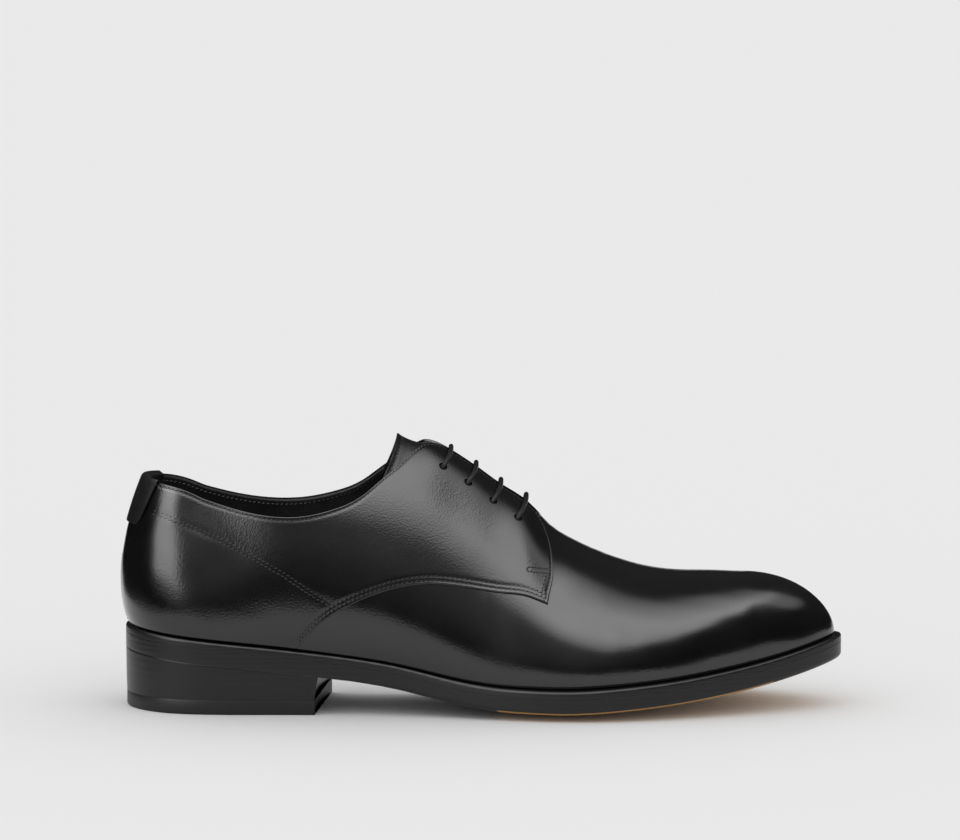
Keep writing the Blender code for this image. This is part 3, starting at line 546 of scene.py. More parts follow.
def meet_on_crest(grid, closed, toe):
    """Puts the upper ends of a closed section's two sides on one point, and those of the toe on one."""
    ends = grid[-1].copy()
    mirrored = ends[(-np.arange(len(ends))) % len(ends)]
    ends[closed] = (ends[closed] + mirrored[closed]) / 2
    ends[toe] = ends[toe].mean(axis=0)
    grid[-1] = ends


def eyelet_stations():
    """Where the eyelets lie along the shoe: evenly between the collar's front end and the facing's foot."""
    first = COLLAR[-1][0] * SOLE_LENGTH + EYELET_TOP_MARGIN
    final = FACING_TURN * SOLE_LENGTH - EYELET_FOOT_MARGIN
    return [float(x) for x in np.linspace(first, final, EYELET_ROWS)]


def eyelet_reach(row, x):
    """How far an eyelet lies from the crest. The rows spread a little towards the foot."""
    return facing_edge(x / SOLE_LENGTH) + EYELET_INSET + EYELET_SPREAD * row


def eyelet_frame(row, x, side):
    """The middle and the outward direction of an eyelet."""
    lap = float(lap_at(x / SOLE_LENGTH, side))
    climb = climb_from_crest(lap, eyelet_reach(row, x))
    middle = lifted(lap, climb, 0.0)
    outwards = lifted(lap, climb, 1.0) - middle
    return Vector(middle), Vector(outwards).normalized()


def heel_ring(inset, breast_shift):
    """The heel's outline in plan: round the back from breast to breast, then across the breast."""
    turns = np.linspace(0, 1, SAMPLES)
    ends = []
    for side in (1, -1):
        turned = HEEL_LENGTH + breast_shift + side * math.tan(HEEL_BREAST_TURN) * HEEL_WIDTH / 2
        ends.append(float(np.interp(turned, outline(turns)[:, 0], turns)) * side)
    inner = np.linspace(0, ends[0], HEEL_LAPS + 1)
    outer = np.linspace(ends[1], 0, HEEL_LAPS + 1)[:-1]
    inner_side, outer_side = inset_outline(inner, inset), inset_outline(outer, inset)
    across = np.linspace(0, 1, BREAST_STEPS + 1)[1:-1, None]
    breast = inner_side[-1] * (1 - across) + outer_side[0] * across
    breast[:, 0] -= 4 * HEEL_BREAST_HOLLOW * (across * (1 - across))[:, 0]
    return np.concatenate([inner_side, breast, outer_side])


def tab_profile(lap, drop, rows):
    """The tab's side towards the upper and its far side, from its foot over the collar to the fold."""
    top = quarter_top(lap)
    edge = last(lap, top)
    rise = edge - last(lap, top - STEP_OF_CLIMB)
    per_climb = np.linalg.norm(rise) / STEP_OF_CLIMB
    rise /= np.linalg.norm(rise)
    square = lifted(lap, top, 1.0) - edge
    outside = QUARTER_STEP + TAB_GAP
    inside = -QUARTER_LINING - TAB_GAP
    climbs = [top - share * drop / per_climb for share in np.linspace(1, 0, rows)]
    fold = top - TAB_FOLD / per_climb
    near = [lifted(lap, climb, outside) for climb in climbs]
    near += [edge + square * outside + rise * TAB_GAP, edge + square * inside + rise * TAB_GAP]
    near.append(lifted(lap, fold, inside))
    over = rise * (TAB_GAP / 2 + TAB_SKIN)
    far = [lifted(lap, climb, outside + TAB_SKIN) for climb in climbs]
    far.append(edge + square * (outside + TAB_SKIN / 2) + over)
    far.append(edge + square * (inside - TAB_SKIN / 2) + over)
    far.append(lifted(lap, fold, inside - TAB_SKIN))
    return near, far


# Seam of the counter seen from the side, from the back to the hem, in metres from heel and floor
COUNTER_SEAM = (
    (0.0085, 0.0856), (0.0107, 0.0850), (0.0176, 0.0833), (0.0280, 0.0791), (0.0411, 0.0740),
    (0.0542, 0.0677), (0.0673, 0.0606), (0.0804, 0.0520), (0.0899, 0.0468), (0.0930, 0.0448),
)
# Bar tack near the quarter's front corner: its two ends seen from the side
BAR_TACK = ((0.1705, 0.0624), (0.1801, 0.0607))
# Half its width, where its round end starts as a share of its length, and points on each stretch
BAR_TACK_HALF = 0.0009
BAR_TACK_BEND = 0.12
BAR_TACK_STEPS = 12
BAR_TACK_PITCH = 0.0013
BAR_TACK_STITCH = 0.0011
HEM_ROWS = (0.0016, 0.0034)
COLLAR_ROW = 0.0015
CORNER_BLEND = 0.09
CORNER_TO = 0.45
CORNER_RISE = 1.6
FRONT_ROWS = (0.0014, 0.0034)
ROW_DISTANCE = 0.0016
ROW_DIP = 0.00015
BACK_SEAM = (0.03, 0.50)
BACK_SEAM_LAP = 0.004
LINING_FRONT = 0.400
LINING_REACH = 0.554
LINING_ROW = 0.0024
TONGUE_ROW = 0.0024
TONGUE_ROUND = 0.0006
ROW_WIDTH = 0.0008
COUNTER_ROW_WIDTH = 0.0013
SKIN_ROUND = 0.00055
SKIN_UNDER = 0.00004
TREAD_FROM = 0.160
TREAD_TO = 0.277

# Distances from an edge at which the quarter has a row or a column, and how far the fan of columns
# behind its front edge reaches, as a station
EDGE_STEPS = np.array([0.0, 0.05, 0.14, 0.28, 0.42, 0.56, 0.8, 1.1, 1.4, 1.7,
                       2.1, 2.6, 3.0, 3.4, 3.8, 4.4, 5.2]) / 1000
FRONT_REACH = 0.040

# Soft creases over the ball. Each row: place, slant, depth, width
CREASES = (
    (0.1985, 0.20, 0.00012, 0.0030),
    (0.2075, 0.12, 0.00016, 0.0034),
    (0.2165, 0.05, 0.00010, 0.0030),
)
CREASE_MIDDLE = 0.004

# Counts of the fine grids
QUARTER_SHARES = 81
QUARTER_REAR = 34
QUARTER_MIDDLE = 60
QUARTER_FRONT = 30
QUARTER_ROWS = 46
COUNTER_POINTS = 140
COUNTER_SEWN = slice(6, -4)
VAMP_LAPS = 132
VAMP_ROWS = 60
THROAT_LAPS = 16
THROAT_ROOM = 0.004
LINING_LAPS = 84
LINING_ROWS = 26
TONGUE_ROWS = 70
TONGUE_COLUMNS = 57
TAB_ROWS = 26
TAB_COLUMNS = 61
SOLE_LAPS = 170
LACE_POINTS = 90
LACE_SIDES = 20
BACK_SEAM_POINTS = 60
COLLAR_POINTS = 70


def origin_of_box():
    """The middle of the shoe's box in plan: from the bulge of the heel to the tip of the toe."""
    climbs = np.linspace(0, 1, SAMPLES)
    back = lifted(0.0, climbs, QUARTER_STEP)[:, 0].min()
    turns = np.linspace(0, 1, SAMPLES * 4)
    y = (WIDTHS["inner"](turns).max() - WIDTHS["outer"](turns).max()) / 2 * BALL_WIDTH
    return np.array([(back + SOLE_LENGTH) / 2, y, 0.0])


ORIGIN = origin_of_box()


def only(obj):
    """Selects one object alone, and makes it the active one."""
    bpy.ops.object.select_all(action="DESELECT")
    obj.select_set(True)
    bpy.context.view_layer.objects.active = obj


def piece(name, points, faces, materials, picks=None, uvs=None, merge=MERGE_DISTANCE, turn_out=True):
    """A finished piece: its doubles merged, its faces turned out, shaded and given its materials."""
    mesh = bpy.data.meshes.new(name)
    mesh.from_pydata((np.asarray(points, float) - ORIGIN).tolist(), [], faces)
    for material in materials:
        mesh.materials.append(material)
    if picks is not None:
        mesh.polygons.foreach_set("material_index", np.asarray(picks, dtype=np.int32))
    if uvs is not None:
        layer = mesh.uv_layers.new(name="along")
        layer.data.foreach_set("uv", np.asarray(uvs, dtype=np.float32).ravel())
    shape = bmesh.new()
    shape.from_mesh(mesh)
    bmesh.ops.remove_doubles(shape, verts=shape.verts, dist=merge)
    if turn_out:
        bmesh.ops.recalc_face_normals(shape, faces=shape.faces)
        if shape.calc_volume(signed=True) < 0:
            bmesh.ops.reverse_faces(shape, faces=shape.faces)
    shape.to_mesh(mesh)
    shape.free()
    obj = bpy.data.objects.new(name, mesh)
    bpy.context.scene.collection.objects.link(obj)
    smooth(obj)
    return obj


def smooth(obj):
    only(obj)
    bpy.ops.object.shade_smooth_by_angle(angle=SHARP_ANGLE)


def finish_piece(obj, slot, *nodes):
    """The piece rides on the shoe and stands for these solids. Its slot is not used."""
    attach(obj, "root")
    if nodes:
        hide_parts(*nodes)


def sheet_faces(rows, columns, wrap):
    """Faces of a wall between two grids: outer, inner, and the edges, each with its kind."""
    shift = rows * columns
    last_column = columns if wrap else columns - 1
    faces, kinds = [], []
    for i in range(rows - 1):
        for j in range(last_column):
            k = (j + 1) % columns
            quad = (i * columns + j, i * columns + k, (i + 1) * columns + k, (i + 1) * columns + j)
            faces.append(quad)
            kinds.append(0)
            faces.append(tuple(v + shift for v in reversed(quad)))
            kinds.append(1)
    for j in range(last_column):
        k = (j + 1) % columns
        top = (rows - 1) * columns
        faces.append((j, j + shift, k + shift, k))
        faces.append((top + j, top + k, top + k + shift, top + j + shift))
        kinds += [0, 0]
    if not wrap:
        for i in range(rows - 1):
            for j in (0, columns - 1):
                a, b = i * columns + j, (i + 1) * columns + j
                faces.append((a, b, b + shift, a + shift))
                kinds.append(0)
    return faces, kinds


def sheet(name, outer, inner, wrap, materials):
    rows, columns = outer.shape[:2]
    faces, kinds = sheet_faces(rows, columns, wrap)
    points = np.concatenate([outer.reshape(-1, 3), inner.reshape(-1, 3)])
    return piece(name, points, faces, materials, kinds if len(materials) > 1 else None)


def rounding(distance, radius=SKIN_ROUND):
    """How far a surface falls away this close to its cut edge."""
    near = np.clip(distance, 0, radius)
    return radius - np.sqrt(np.maximum(radius**2 - (radius - near) ** 2, 0))


def dip(distance, width=ROW_WIDTH):
    return np.exp(-((distance / width) ** 2))


def walked(points, axis):
    """The way walked along the grid's rows or columns, from its start."""
    steps = np.linalg.norm(np.diff(points, axis=axis), axis=-1)
    way = np.cumsum(steps, axis=axis)
    pad = np.zeros_like(np.take(way, [0], axis=axis))
    return np.concatenate([pad, way], axis=axis)


def along_line(at, way, line):
    """The line's values at these distances along the way."""
    return np.stack([np.interp(at, way, line[:, axis]) for axis in range(3)], axis=-1)


def swell(lap, climb):
    """Faint waves that hand lasting leaves in the leather."""
    a = np.sin(37 * lap + 9 * climb) * np.sin(11 * climb + 5 * lap + 0.6)
    b = np.sin(71 * lap - 17 * climb + 1.3) * np.sin(23 * climb + 0.4)
    return 0.00006 * a + 0.00003 * b


def flex_creases(points):
    """Three very soft troughs across the ball of the foot, where the shoe has been bent once."""
    x, y = points[..., 0], np.abs(points[..., 1] - CREASE_MIDDLE)
    depth = np.zeros(x.shape)
    for place, slant, deep, wide in CREASES:
        depth += deep * dip(x - place + slant * y, wide)
    return depth


def quarter_map(side):
    """Lap and climb of the quarter's fine grid on one side, with rows and columns close to its edges."""
    shares = np.linspace(0, 1, QUARTER_SHARES)
    rear = np.linspace(0, float(lap_at(QUARTER_FOOT, side)), QUARTER_REAR)
    stations = np.linspace(QUARTER_FOOT, FRONT_FROM, QUARTER_MIDDLE)[1:-1]
    middle = [float(lap_at(s, side)) for s in stations]
    laps, climbs = [], []
    for lap in list(rear) + middle:
        station = feather(np.array([lap]))[0, 0] / SOLE_LENGTH
        low = climb_at_height(lap, float(HEMS["height"](station))) if station > QUARTER_FOOT else 0.0
        low = max(low, climb_at_height(lap, 0.0) + QUARTER_FOOT_CLIMB)
        laps.append(np.full(len(shares), lap))
        climbs.append(low + (quarter_top(lap) - low) * shares)
    front_z = smooth_curve(np.linspace(0, 1, len(FRONT)), [r[1] for r in FRONT])(shares)
    front_s = smooth_curve(np.linspace(0, 1, len(FRONT)), [r[0] for r in FRONT])(shares)
    edge_laps = lap_at(front_s, side)
    edge_climbs = np.array([climb_at_height(float(a), float(z)) for a, z in zip(edge_laps, front_z)])
    lift_share = (edge_climbs - edge_climbs[0]) / (edge_climbs[-1] - edge_climbs[0])
    even = np.linspace(0, 1 - EDGE_STEPS[-1] / FRONT_REACH, QUARTER_FRONT)
    steps = np.concatenate([even, 1 - EDGE_STEPS[-2::-1] / FRONT_REACH])
    for p in steps:
        s_low = FRONT_FROM + (FRONT[0][0] - FRONT_FROM) * p
        s_high = FRONT_FROM + (FRONT[-1][0] - FRONT_FROM) * p
        low = climb_at_height(float(lap_at(s_low, side)), float(HEMS["height"](s_low)))
        turned = np.clip((s_high - FACING_TURN) / (FRONT[-1][0] - FACING_TURN), 0, 1) ** 2
        high = quarter_top(float(lap_at(s_high, side))) * (1 - turned) + edge_climbs[-1] * turned
        laps.append(lap_at(FRONT_FROM + (front_s - FRONT_FROM) * p, side))
        climbs.append(low + (high - low) * (shares * (1 - p) + lift_share * p))
    laps, climbs = np.array(laps).T, np.array(climbs).T
    way = walked(last(laps, climbs), 0)
    fine_laps, fine_climbs = [], []
    for j in range(laps.shape[1]):
        length = way[-1, j]
        inner = np.linspace(EDGE_STEPS[-1], length - EDGE_STEPS[-1], QUARTER_ROWS)
        at = np.concatenate([EDGE_STEPS[:-1], inner, length - EDGE_STEPS[-2::-1]])
        fine_laps.append(np.interp(at, way[:, j], laps[:, j]))
        fine_climbs.append(np.interp(at, way[:, j], climbs[:, j]))
    return np.array(fine_laps).T, np.array(fine_climbs).T


class Quarter:
    """One quarter's outer skin as a grid, with the distances of its points from its edges."""

    def __init__(self, side):
        self.side = side
        self.laps, self.climbs = quarter_map(side)
        base = last(self.laps, self.climbs)
        self.base = base
        self.square = lifted(self.laps, self.climbs, 1.0) - base
        up = walked(base, 0)
        self.from_low = up
        self.from_top = up[-1:] - up
        along = walked(base, 1)
        self.from_front = along[:, -1:] - along
        self.station = feather(self.laps)[..., 0] / SOLE_LENGTH
        self.plan_rows()
        edge = np.minimum(self.from_top, self.from_front)
        hemmed = self.station > QUARTER_FOOT - 0.02
        edge = np.where(hemmed, np.minimum(edge, self.from_low), edge)
        lift = QUARTER_STEP - rounding(edge) + swell(self.laps, self.climbs)
        sunk = dip(self.from_top - COLLAR_ROW)
        sunk = np.maximum(sunk, dip(self.from_front - FRONT_ROWS[0]))
        for row in HEM_ROWS:
            sunk = np.maximum(sunk, np.where(hemmed, dip(self.from_low - row), 0))
        sunk = np.maximum(sunk, dip(self.from_counter(), COUNTER_ROW_WIDTH) * 0.9)
        lift = lift - ROW_DIP * sunk
        roll = np.where(self.station < QUARTER_FOOT, rounding(self.from_low, 0.0009), 0)
        self.surface = base + self.square * (lift - roll)[..., None]
        self.under = base + self.square * SKIN_UNDER

    def plan_rows(self):
        """The counter's seam on this side, found on the last from its picture seen from the side."""
        line = np.array(COUNTER_SEAM)
        way = walked(line, 0)
        at = np.linspace(0, way[-1], COUNTER_POINTS)
        x = np.interp(at, way, line[:, 0])
        z = np.interp(at, way, line[:, 1])
        self.counter = np.array([self.seen_at(a, b) for a, b in zip(x, z)])
        self.counter_points = last(self.counter[:, 0], self.counter[:, 1])

    def seen_at(self, x, z):
        """The lap and climb of the point that is seen at this x and z from the side."""
        gap = (self.base[..., 0] - x) ** 2 + (self.base[..., 2] - z) ** 2
        near = np.unravel_index(np.argmin(gap), gap.shape)
        return refine(self.laps[near], self.climbs[near], x, z)

    def from_counter(self):
        gap = np.full(self.base.shape[:2], 1.0)
        for point in self.counter_points:
            gap = np.minimum(gap, np.linalg.norm(self.base - point, axis=-1))
        return gap

    def at(self, i, j):
        """Surface point and outward direction at fractional rows and columns."""
        i0 = np.clip(np.floor(i).astype(int), 0, self.surface.shape[0] - 2)
        j0 = np.clip(np.floor(j).astype(int), 0, self.surface.shape[1] - 2)
        u, v = (i - i0)[:, None], (j - j0)[:, None]
        found = []
        for field in (self.surface, self.square):
            low = field[i0, j0] * (1 - v) + field[i0, j0 + 1] * v
            high = field[i0 + 1, j0] * (1 - v) + field[i0 + 1, j0 + 1] * v
            found.append(low * (1 - u) + high * u)
        return found

    def line_from_low(self, distance, first_station):
        columns = np.arange(self.laps.shape[1])
        rows = crossings(self.from_low.T, distance)
        station = self.station[0, columns]
        i = np.clip(np.round(rows).astype(int), 0, len(self.from_low) - 1)
        keep = (station > first_station) & (self.from_front[i, columns] > FRONT_ROWS[0])
        return self.at(rows[keep], columns[keep].astype(float))

    def line_from_top(self, distance):
        columns = np.arange(self.laps.shape[1])
        rows = crossings(self.from_top.T, distance, backwards=True)
        i = np.clip(np.round(rows).astype(int), 0, len(self.from_top) - 1)
        keep = self.from_front[i, columns] > FRONT_ROWS[0]
        return self.at(rows[keep], columns[keep].astype(float))

    def line_from_front(self, distance, highest=1.0):
        rows = np.arange(self.laps.shape[0])
        columns = crossings(self.from_front, distance, backwards=True)
        j = np.clip(np.round(columns).astype(int), 0, self.laps.shape[1] - 1)
        keep = (self.from_low[rows, j] > HEM_ROWS[0]) & (self.from_top[rows, j] > COLLAR_ROW)
        keep &= self.surface[rows, j, 2] < highest
        return self.at(rows[keep].astype(float), columns[keep])


def crossings(ways, distance, backwards=False):
    """The fractional index at which each of the ways reaches the distance."""
    step = -1 if backwards else 1
    index = np.arange(ways.shape[1])[::step]
    return np.array([np.interp(distance, way[::step], index) for way in ways])


def line_on_last(pairs, lift):
    """A line through laps and climbs, lifted off the last, and its outward directions."""
    points = last(pairs[:, 0], pairs[:, 1])
    square = lifted(pairs[:, 0], pairs[:, 1], 1.0) - points
    return points + square * lift, square


def refine(lap, climb, x, z):
    """The lap and climb of the last's point with this x and z, from a start close to it."""
    for _ in range(5):
        here = last(lap, climb)
        by_lap = (last(lap + STEP_OF_LAP, climb) - here) / STEP_OF_LAP
        by_climb = (last(lap, climb + STEP_OF_CLIMB) - here) / STEP_OF_CLIMB
        system = np.array([[by_lap[0], by_climb[0]], [by_lap[2], by_climb[2]]])
        if abs(np.linalg.det(system)) < 1e-9:
            break
        step = np.linalg.solve(system, np.array([x - here[0], z - here[2]]))
        step = np.clip(step, -0.01, 0.01)
        lap, climb = lap + step[0], climb + step[1]
    return lap, climb


# Materials: every one is made of nodes that read the object's own coordinates

# Sockets of the mix node for colours, and the length of one wave of the wave node at scale 1
MIX_SHARE, MIX_A, MIX_B, MIX_RESULT = 0, 6, 7, 2
WAVE_TURN = 6.283
BRAID_ANGLE = math.radians(38)


def new_material(name, base, roughness, **sockets):
    material = bpy.data.materials.new(name)
    material.use_nodes = True
    shader = material.node_tree.nodes["Principled BSDF"]
    shader.inputs["Base Color"].default_value = (*base, 1.0)
    shader.inputs["Roughness"].default_value = roughness
    for socket, value in sockets.items():
        shader.inputs[socket.replace("_", " ")].default_value = value
    return material


def add(material, kind, **settings):
    node = material.node_tree.nodes.new(kind)
    for key, value in settings.items():
        if key in node.inputs:
            node.inputs[key].default_value = value
        else:
            setattr(node, key, value)
    return node


def wire(material, from_socket, to_socket):
    material.node_tree.links.new(from_socket, to_socket)


def leather(name, base, roughness, grain, depth, coat=0.0, coat_roughness=0.1, wrinkles=0.3, tint=None):
    """Grain cells with fine pores over faint wrinkles, with worn spots a little rougher."""
    material = new_material(name, base, roughness, Coat_Weight=coat, Coat_Roughness=coat_roughness)
    shader = material.node_tree.nodes["Principled BSDF"]
    where = add(material, "ShaderNodeTexCoord")
    cells = add(material, "ShaderNodeTexVoronoi", feature="F1", Scale=grain)
    pores = add(material, "ShaderNodeTexNoise", Scale=grain * 1.7, Detail=3.0, Roughness=0.55)
    folds = add(material, "ShaderNodeTexNoise", Scale=grain / 22, Detail=5.0, Roughness=0.6, Distortion=0.6)
    for node in (cells, pores, folds):
        wire(material, where.outputs["Object"], node.inputs["Vector"])
    fine = add(material, "ShaderNodeMath", operation="MULTIPLY_ADD")
    fine.inputs[1].default_value = 0.6
    wire(material, pores.outputs["Fac"], fine.inputs[0])
    wire(material, cells.outputs["Distance"], fine.inputs[2])
    soft = add(material, "ShaderNodeBump", Strength=wrinkles, Distance=0.0012)
    wire(material, folds.outputs["Fac"], soft.inputs["Height"])
    bump = add(material, "ShaderNodeBump", Strength=1.0, Distance=depth)
    wire(material, fine.outputs["Value"], bump.inputs["Height"])
    wire(material, soft.outputs["Normal"], bump.inputs["Normal"])
    wire(material, bump.outputs["Normal"], shader.inputs["Normal"])
    if coat:
        wire(material, bump.outputs["Normal"], shader.inputs["Coat Normal"])
    range_map = add(material, "ShaderNodeMapRange")
    range_map.inputs["From Min"].default_value = 0.3
    range_map.inputs["From Max"].default_value = 0.7
    range_map.inputs["To Min"].default_value = roughness * 0.85
    range_map.inputs["To Max"].default_value = roughness * 1.2
    wire(material, folds.outputs["Fac"], range_map.inputs["Value"])
    wire(material, range_map.outputs["Result"], shader.inputs["Roughness"])
    mix = add(material, "ShaderNodeMix", data_type="RGBA")
    mix.inputs[MIX_A].default_value = (*base, 1.0)
    mix.inputs[MIX_B].default_value = (*(tint or [c * 1.5 for c in base]), 1.0)
    wire(material, folds.outputs["Fac"], mix.inputs[MIX_SHARE])
    wire(material, mix.outputs[MIX_RESULT], shader.inputs["Base Color"])
    return material


def layered(name, base, roughness, pitch, depth):
    """A burnished edge: faint lines of the leather's layers along it, and fine scratches."""
    material = new_material(name, base, roughness)
    shader = material.node_tree.nodes["Principled BSDF"]
    where = add(material, "ShaderNodeTexCoord")
    layers = add(material, "ShaderNodeTexWave", bands_direction="Z", Scale=1 / pitch / WAVE_TURN * 2,
                 Distortion=0.6, Detail=2.0)
    layers.inputs["Detail Scale"].default_value = 40.0
    stretch = add(material, "ShaderNodeMapping")
    stretch.inputs["Scale"].default_value = (60.0, 60.0, 900.0)
    scratches = add(material, "ShaderNodeTexNoise", Scale=1.0, Detail=3.0)
    wire(material, where.outputs["Object"], layers.inputs["Vector"])
    wire(material, where.outputs["Object"], stretch.inputs["Vector"])
    wire(material, stretch.outputs["Vector"], scratches.inputs["Vector"])
    first = add(material, "ShaderNodeBump", Strength=0.5, Distance=depth)
    second = add(material, "ShaderNodeBump", Strength=0.5, Distance=depth)
    wire(material, layers.outputs["Fac"], first.inputs["Height"])
    wire(material, scratches.outputs["Fac"], second.inputs["Height"])
    wire(material, first.outputs["Normal"], second.inputs["Normal"])
    wire(material, second.outputs["Normal"], shader.inputs["Normal"])
    return material


def braided(name, base, roughness):
    """A round waxed lace: strands cross in a fine braid that follows the cord's own map."""
    material = new_material(name, base, roughness)
    shader = material.node_tree.nodes["Principled BSDF"]
    uv = add(material, "ShaderNodeUVMap", uv_map="along")
    heights = []
    for turn in (1, -1):
        place = add(material, "ShaderNodeMapping")
        place.inputs["Rotation"].default_value = (0, 0, turn * BRAID_ANGLE)
        wave = add(material, "ShaderNodeTexWave", bands_direction="X", Scale=5.0)
        wire(material, uv.outputs["UV"], place.inputs["Vector"])
        wire(material, place.outputs["Vector"], wave.inputs["Vector"])
        heights.append(wave.outputs["Fac"])
    both = add(material, "ShaderNodeMath", operation="MAXIMUM")
    wire(material, heights[0], both.inputs[0])
    wire(material, heights[1], both.inputs[1])
    bump = add(material, "ShaderNodeBump", Strength=0.8, Distance=0.00012)
    wire(material, both.outputs["Value"], bump.inputs["Height"])
    wire(material, bump.outputs["Normal"], shader.inputs["Normal"])
    return material


LOOKS = {}


def make_looks(looks):
    """All finishes of the shoe."""
    black = tuple(looks.leather)
    LOOKS["calf"] = leather("polished_calf", black, 0.22, 1300.0, 0.00003,
                            coat=0.6, coat_roughness=0.09, wrinkles=0.05)
    LOOKS["vamp"] = leather("polished_vamp", black, 0.21, 1300.0, 0.00002,
                            coat=0.7, coat_roughness=0.08, wrinkles=0.04)
    LOOKS["lining"] = leather("lining_leather", tuple(looks.lining), 0.6, 1500.0, 0.00005)
    LOOKS["tongue"] = leather("tongue_calf", black, 0.38, 2400.0, 0.00004, coat=0.35, coat_roughness=0.2)
    LOOKS["tab"] = leather("tab_leather", (0.004, 0.004, 0.0045), 0.42, 1500.0, 0.00005,
                           coat=0.15, coat_roughness=0.3, wrinkles=0.08)
    LOOKS["insole"] = leather("sock_leather", tuple(looks.lining), 0.62, 1300.0, 0.00005)
    LOOKS["welt"] = layered("burnished_welt", (0.006, 0.006, 0.0065), 0.36, 0.0012, 0.00003)
    LOOKS["edge"] = layered("burnished_edge", (0.0045, 0.0045, 0.005), 0.34, 0.0021, 0.00003)
    LOOKS["heel"] = layered("stacked_heel", (0.0045, 0.0045, 0.005), 0.34, 0.0032, 0.00004)
    LOOKS["rubber"] = layered("heel_rubber", (0.006, 0.006, 0.006), 0.45, 0.0010, 0.00002)
    LOOKS["tread"] = leather("sole_tread", tuple(looks.underside), 0.5, 900.0, 0.00006, wrinkles=0.2,
                             tint=[c * 0.8 for c in looks.underside])
    LOOKS["waist"] = leather("sole_waist", (0.018, 0.018, 0.019), 0.45, 1200.0, 0.00004)
    LOOKS["lace"] = braided("waxed_lace", (0.0045, 0.0045, 0.005), 0.42)
    LOOKS["thread"] = new_material("thread", (0.03, 0.03, 0.032), 0.4)
    # Dark matt colour of the discs that paint the shade where the needle went through
    LOOKS["hole"] = new_material("needle_hole", (0.002, 0.002, 0.002), 0.9)


QUARTERS = {}


def make_quarters():
    for side in (-1, 1):
        if side not in QUARTERS:
            QUARTERS[side] = Quarter(side)
    return QUARTERS[-1], QUARTERS[1]


def build_vamp():
    """The vamp and the lining under the quarters: one wall round the whole foot, closed at the toe."""
    half = np.linspace(0, 1, VAMP_LAPS)
    throat = [float(lap_at(s, 1)) for s in np.linspace(THROAT[0][0], THROAT[-1][0], THROAT_LAPS)]
    beside = [t for t in half if t < throat[0] - THROAT_ROOM or t > throat[-1] + THROAT_ROOM]
    half = np.array(sorted(beside + throat))
    laps = np.concatenate([half, -half[-2:0:-1]])
    tops = np.array([vamp_top(lap) for lap in laps])
    shares = np.concatenate([[0, 0.003, 0.008, 0.015, 0.024], np.linspace(0.035, 1, VAMP_ROWS)])
    climbs = shares[:, None] * tops[None, :]
    lap_grid = np.broadcast_to(laps, climbs.shape).copy()
    base = last(lap_grid, climbs)
    fade = np.clip((1 - climbs) * 6, 0, 1) * np.clip((1 - np.abs(lap_grid)) * 20, 0, 1)
    lift = swell(lap_grid, climbs) * fade - flex_creases(base) * np.clip(climbs * 4, 0, 1)
    lift = lift - rounding(walked(base, 0), 0.0008)
    outer = base + (lifted(lap_grid, climbs, 1.0) - base) * lift[..., None]
    inner = lifted(lap_grid, climbs, -VAMP_WALL)
    inner[0] = with_height(feather(laps, VAMP_WALL), outer[0][:, 2])
    toe = feather(laps)[:, 0] >= SOLE_LENGTH - TOE_BOX
    for grid in (outer, inner):
        meet_on_crest(grid, tops >= 1, toe)
    return sheet("vamp_skin", outer, inner, True, [LOOKS["vamp"], LOOKS["lining"]])


def build_quarters():
    """Both quarters as one skin round the heel, with the eyelets cut through it."""
    outer_side, inner_side = make_quarters()
    skin = [np.concatenate([outer_side.surface[:, ::-1], inner_side.surface[:, 1:]], axis=1),
            np.concatenate([outer_side.under[:, ::-1], inner_side.under[:, 1:]], axis=1)]
    obj = sheet("quarter_skin", skin[0], skin[1], False, [LOOKS["calf"], LOOKS["lining"]])
    punch(obj)
    return obj


def punch(obj):
    """Cuts all eyelets at once with one joined cutter."""
    cutters = []
    for row, x in enumerate(eyelet_stations()):
        for side in (-1, 1):
            middle, outwards = eyelet_frame(row, x, side)
            bpy.ops.object.select_all(action="DESELECT")
            bpy.ops.mesh.primitive_cylinder_add(vertices=28, radius=EYELET_RADIUS, depth=0.012,
                                                location=middle - Vector(ORIGIN),
                                                rotation=outwards.to_track_quat("Z", "Y").to_euler())
            cutters.append(bpy.context.object)
    for cutter in cutters:
        cutter.select_set(True)
    bpy.context.view_layer.objects.active = cutters[0]
    bpy.ops.object.join()
    cutter = bpy.context.object
    only(obj)
    cut = obj.modifiers.new("Eyelets", "BOOLEAN")
    cut.object = cutter
    cut.operation = "DIFFERENCE"
    cut.solver = "EXACT"
    bpy.ops.object.modifier_apply(modifier="Eyelets")
    bpy.data.objects.remove(cutter)
    smooth(obj)


def build_lining():
    """The quarters' lining, from above the counter's edge up to just under the collar."""
    laps = laps_round_heel(LINING_REACH, LINING_LAPS)
    low = np.array([vamp_top(lap) for lap in laps]) + 0.006
    high = np.array([quarter_top(lap) for lap in laps])
    shares = np.concatenate([np.linspace(0, 0.96, LINING_ROWS), [0.975, 0.985, 0.993, 1.0]])
    slack = np.maximum(high - low - 0.004, 0.01)
    climbs = low + shares[:, None] * slack
    grid = np.broadcast_to(laps, climbs.shape)
    base = last(grid, climbs)
    way = walked(base, 0)
    from_top = way[-1:] - way
    out = lifted(grid, climbs, -0.00003)
    inn = lifted(grid, climbs, -QUARTER_LINING + rounding(from_top, 0.0007))
    return sheet("quarter_lining", out, inn, False, [LOOKS["lining"]])


